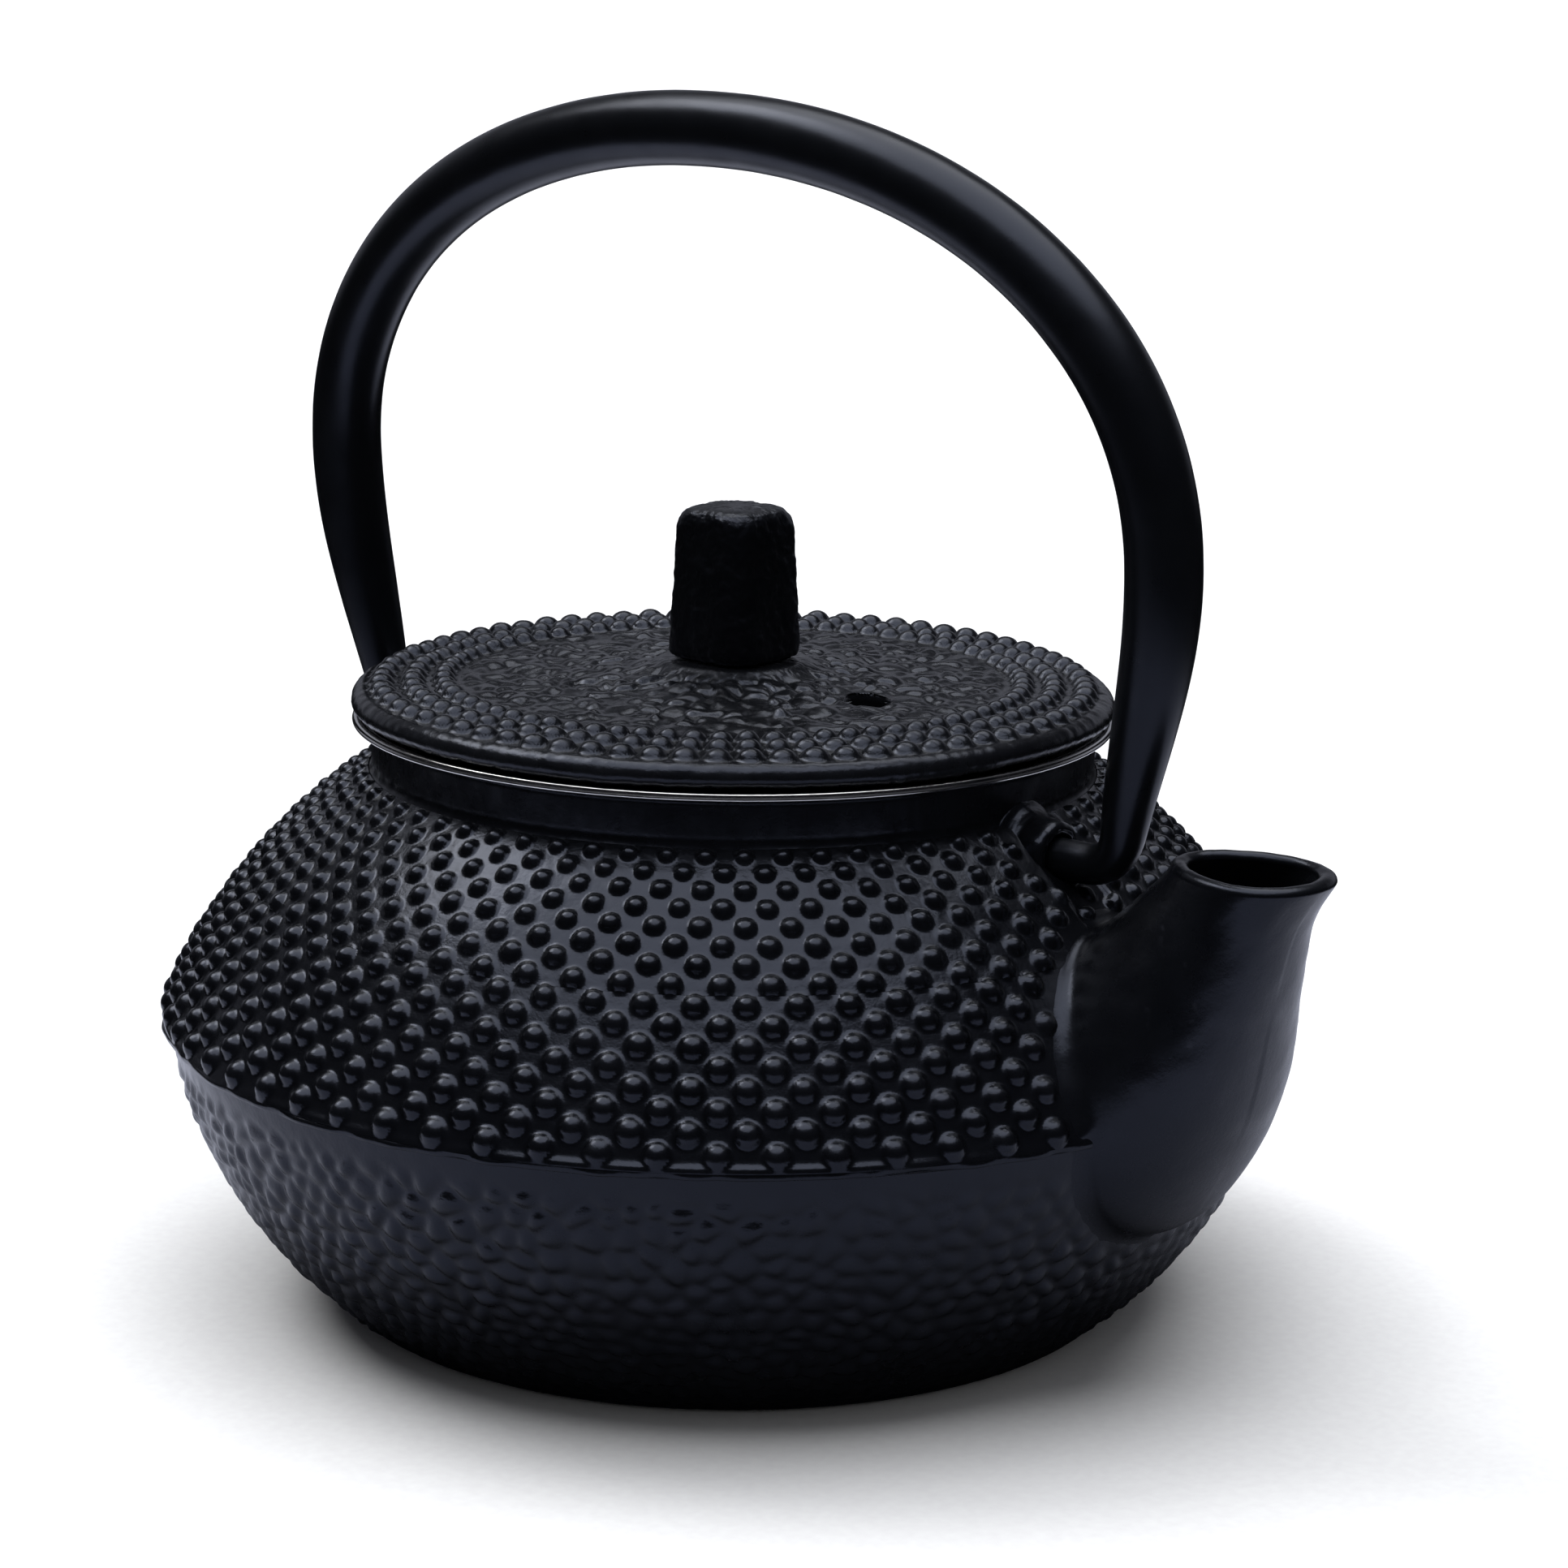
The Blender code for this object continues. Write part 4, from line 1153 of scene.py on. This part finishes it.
def mesh_floor_piece():
    """Woven disc in the bottom of the basket."""
    radius = MESH_FLOOR_HIGH[0]
    level = (MESH_FLOOR_LOW[2] + MESH_FLOOR_HIGH[2]) / 2
    pitch = 1.3
    count = int(radius / pitch)
    weave = 0.11
    sheets = []
    for k in range(-count, count + 1):
        half = math.sqrt(max(radius ** 2 - (k * pitch) ** 2, 1.0)) - 0.2
        along = np.arange(-half, half, pitch / 4)
        lift = weave * np.cos(math.pi * along / pitch) * (1 if k % 2 else -1)
        for turned_over in (False, True):
            fixed = np.full(len(along), k * pitch)
            x, y = (fixed, along) if turned_over else (along, fixed)
            z = level + (-lift if turned_over else lift)
            sheets += wire_sheet(np.stack([x, y, z], axis=1)[None], FLOOR_WIRE_R)
    return mesh_object("mesh_floor_weave", sheets, mesh_steel)


def hoop_piece():
    """Rolled hoop that holds the mesh at the bottom of the basket."""
    outer, low, high = HOOP_HIGH[0], HOOP_LOW[2], HOOP_HIGH[2]
    lip = outer - 2.5
    line = np.concatenate([
        arc((outer - SHEET, high - 0.25), (outer, high - 0.25), 0.24, 7),
        arc((outer, low + 0.8), (outer - 0.8, low), 0.22, 7),
        arc((lip + 0.2, low), (lip + 0.2, low + SHEET), 0.22, 7),
        arc((outer - SHEET - 0.5, low + SHEET), (outer - SHEET, low + SHEET + 0.5), -0.12, 5),
        [(outer - SHEET, high - 0.25)],
    ])
    return ring_piece("infuser_hoop", line, 300, 0.16, rim_steel)


def make_infuser():
    add_piece(collar_piece(), "infuser", "polished_steel", "infuser_collar")
    for piece in mesh_wall_pieces():
        add_piece(piece, "infuser", "steel_mesh", "infuser_mesh_wall")
    add_piece(mesh_floor_piece(), "infuser", "steel_mesh", "infuser_mesh_floor")
    add_piece(hoop_piece(), "infuser", "polished_steel", "infuser_base_hoop")


# ---------------------------------------------------------------- stage, light and camera

# Ramps are (position, level). The sky's position is the sine of the height over the horizon
SKY = ((0.0, 0.004), (0.35, 0.03), (0.72, 0.055), (0.87, 0.30), (1.0, 0.50))
# How bright the table looks in the glaze, by distance from the axis and by x: painted shadow, darkest round
# the axis where the pot's shadow falls, and painted light, brighter towards -x
GLAZE_PAINTED_SHADOW = ((0.0, 0.03), (0.25, 0.10), (0.34, 0.56), (0.80, 0.85), (0.95, 0.0))
GLAZE_PAINTED_SIDE_LIGHT = ((0.30, 0.72), (0.62, 1.0))
BACKDROP = ((0.0, 0.0), (0.04, 0.28), (0.32, 0.28), (0.44, 0.0))
BEHIND = (-0.63, 0.77, 0.0)           # level way from the camera to the pot
BACKDROP_WIDTH = ((0.35, 0.0), (0.75, 1.0))
COOL = (0.93, 0.96, 1.12)
CAMERA_PLACE = (280.6, -334.2, 153.2)
CAMERA_TURNS = (math.radians(129.32), 0.2246, 0.0134)     # heading from +X, tilt down, roll
LENS = 98.9


def cool(stops):
    """Grey ramp stops, tinted slightly blue."""
    return [(position, tuple(level * share for share in COOL)) for position, level in stops]


def floor_sheet(name, radius, level, material):
    """Disc on the table plane."""
    rows = np.array([(radius, level), (0.001, level)])
    sheet = skin(name, turned(rows, 96), material)
    return sheet


def make_floor():
    """White table, with a dimmer one that only the glaze sees, painted with the pot's shadow round its axis
    and with light brighter towards -x.
    """
    made, tree, shader, place = new_material("floor_paper")
    paper = clouded(tree, place, 900.0, 4.0, (0.86, 0.855, 0.855), (0.90, 0.90, 0.895))
    tree.links.new(paper, shader.inputs["Base Color"])
    shader.inputs["Roughness"].default_value = 0.9
    shader.inputs["Specular IOR Level"].default_value = 0.1
    floor_sheet("floor", 12000.0, -0.3, made).visible_glossy = False

    made, tree, shader, place = new_material("floor_painted_shade_in_glaze")
    split = node(tree, "ShaderNodeSeparateXYZ")
    tree.links.new(place, split.inputs["Vector"])
    length = node(tree, "ShaderNodeVectorMath", operation="LENGTH")
    tree.links.new(place, length.inputs[0])
    # Painted shadow: the glaze-only table is darkest round the pot's axis, as the pot's shadow seen in
    # reflections
    near = ramp(tree, scaled(tree, length.outputs["Value"], 5.0, 0.0), cool(GLAZE_PAINTED_SHADOW))
    # Painted light: the glaze-only table grows brighter towards -x, so reflections on that side come out
    # lighter
    side = ramp(tree, scaled(tree, split.outputs["X"], -3.0, 0.5), GLAZE_PAINTED_SIDE_LIGHT)
    tree.links.new(blend(tree, "MULTIPLY", near, side), shader.inputs["Base Color"])
    shader.inputs["Roughness"].default_value = 1.0
    shader.inputs["Specular IOR Level"].default_value = 0.0
    # Sheet seen only in reflections, carrying the painted shadow and painted side light
    painted_shade_floor = floor_sheet("floor_painted_shade_for_glaze", 190.0, -0.25, made)
    painted_shade_floor.visible_camera = painted_shade_floor.visible_diffuse = painted_shade_floor.visible_shadow = painted_shade_floor.visible_transmission = False


def make_world():
    """Bright overhead, nearly black at the horizon but for a low pale backdrop behind the pot."""
    world = bpy.data.worlds.new("studio")
    bpy.context.scene.world = world
    world.use_nodes = True
    tree = world.node_tree
    background = tree.nodes["Background"]
    direction = node(tree, "ShaderNodeTexCoord").outputs["Generated"]
    split = node(tree, "ShaderNodeSeparateXYZ")
    tree.links.new(direction, split.inputs["Vector"])
    behind = node(tree, "ShaderNodeVectorMath", operation="DOT_PRODUCT")
    tree.links.new(direction, behind.inputs[0])
    behind.inputs[1].default_value = BEHIND
    band = ramp(tree, split.outputs["Z"], cool(BACKDROP))
    width = ramp(tree, behind.outputs["Value"], BACKDROP_WIDTH)
    sky = ramp(tree, split.outputs["Z"], cool(SKY))
    backdrop = blend(tree, "MULTIPLY", band, width)
    tree.links.new(blend(tree, "ADD", sky, backdrop), background.inputs["Color"])
    background.inputs["Strength"].default_value = 1.0


def add_sun(name, strength, spread, azimuth, elevation, colour=(1, 1, 1)):
    """Distant soft light. Azimuth is where it comes from, counted from +X."""
    data = bpy.data.lights.new(name, "SUN")
    data.energy = strength
    data.angle = math.radians(spread)
    data.color = colour
    lamp = bpy.data.objects.new(name, data)
    a, e = math.radians(azimuth), math.radians(elevation)
    source = Vector((math.cos(a) * math.cos(e), math.sin(a) * math.cos(e), math.sin(e)))
    lamp.rotation_mode = "QUATERNION"
    lamp.rotation_quaternion = source.to_track_quat("Z", "Y")
    lamp.location = source * 2
    bpy.context.scene.collection.objects.link(lamp)
    return lamp


def make_camera():
    heading, pitch, roll = CAMERA_TURNS
    level = math.cos(pitch)
    forward = Vector((math.cos(heading) * level, math.sin(heading) * level, -math.sin(pitch)))
    right = Vector((math.sin(heading), -math.cos(heading), 0))
    up = right.cross(forward)
    right, up = right * math.cos(roll) + up * math.sin(roll), up * math.cos(roll) - right * math.sin(roll)
    data = bpy.data.cameras.new("camera")
    data.lens = LENS
    data.sensor_width = 36.0
    data.clip_end = 50.0
    camera = bpy.data.objects.new("camera", data)
    camera.matrix_world = Matrix.Translation(Vector(CAMERA_PLACE) * MM) @ Matrix((
        right, up, -forward)).transposed().to_4x4()
    bpy.context.scene.collection.objects.link(camera)
    bpy.context.scene.camera = camera


make_camera()
make_floor()
make_world()
add_sun("overhead", 3.1, 76, 170, 84, (0.98, 0.99, 1.0))
add_sun("key_left", 0.8, 26, 190, 52)
add_sun("fill_right", 0.38, 70, 335, 35).visible_glossy = False
bpy.context.scene.view_settings.view_transform = "Standard"
make_pot()
make_bail()
make_lid()
make_infuser()
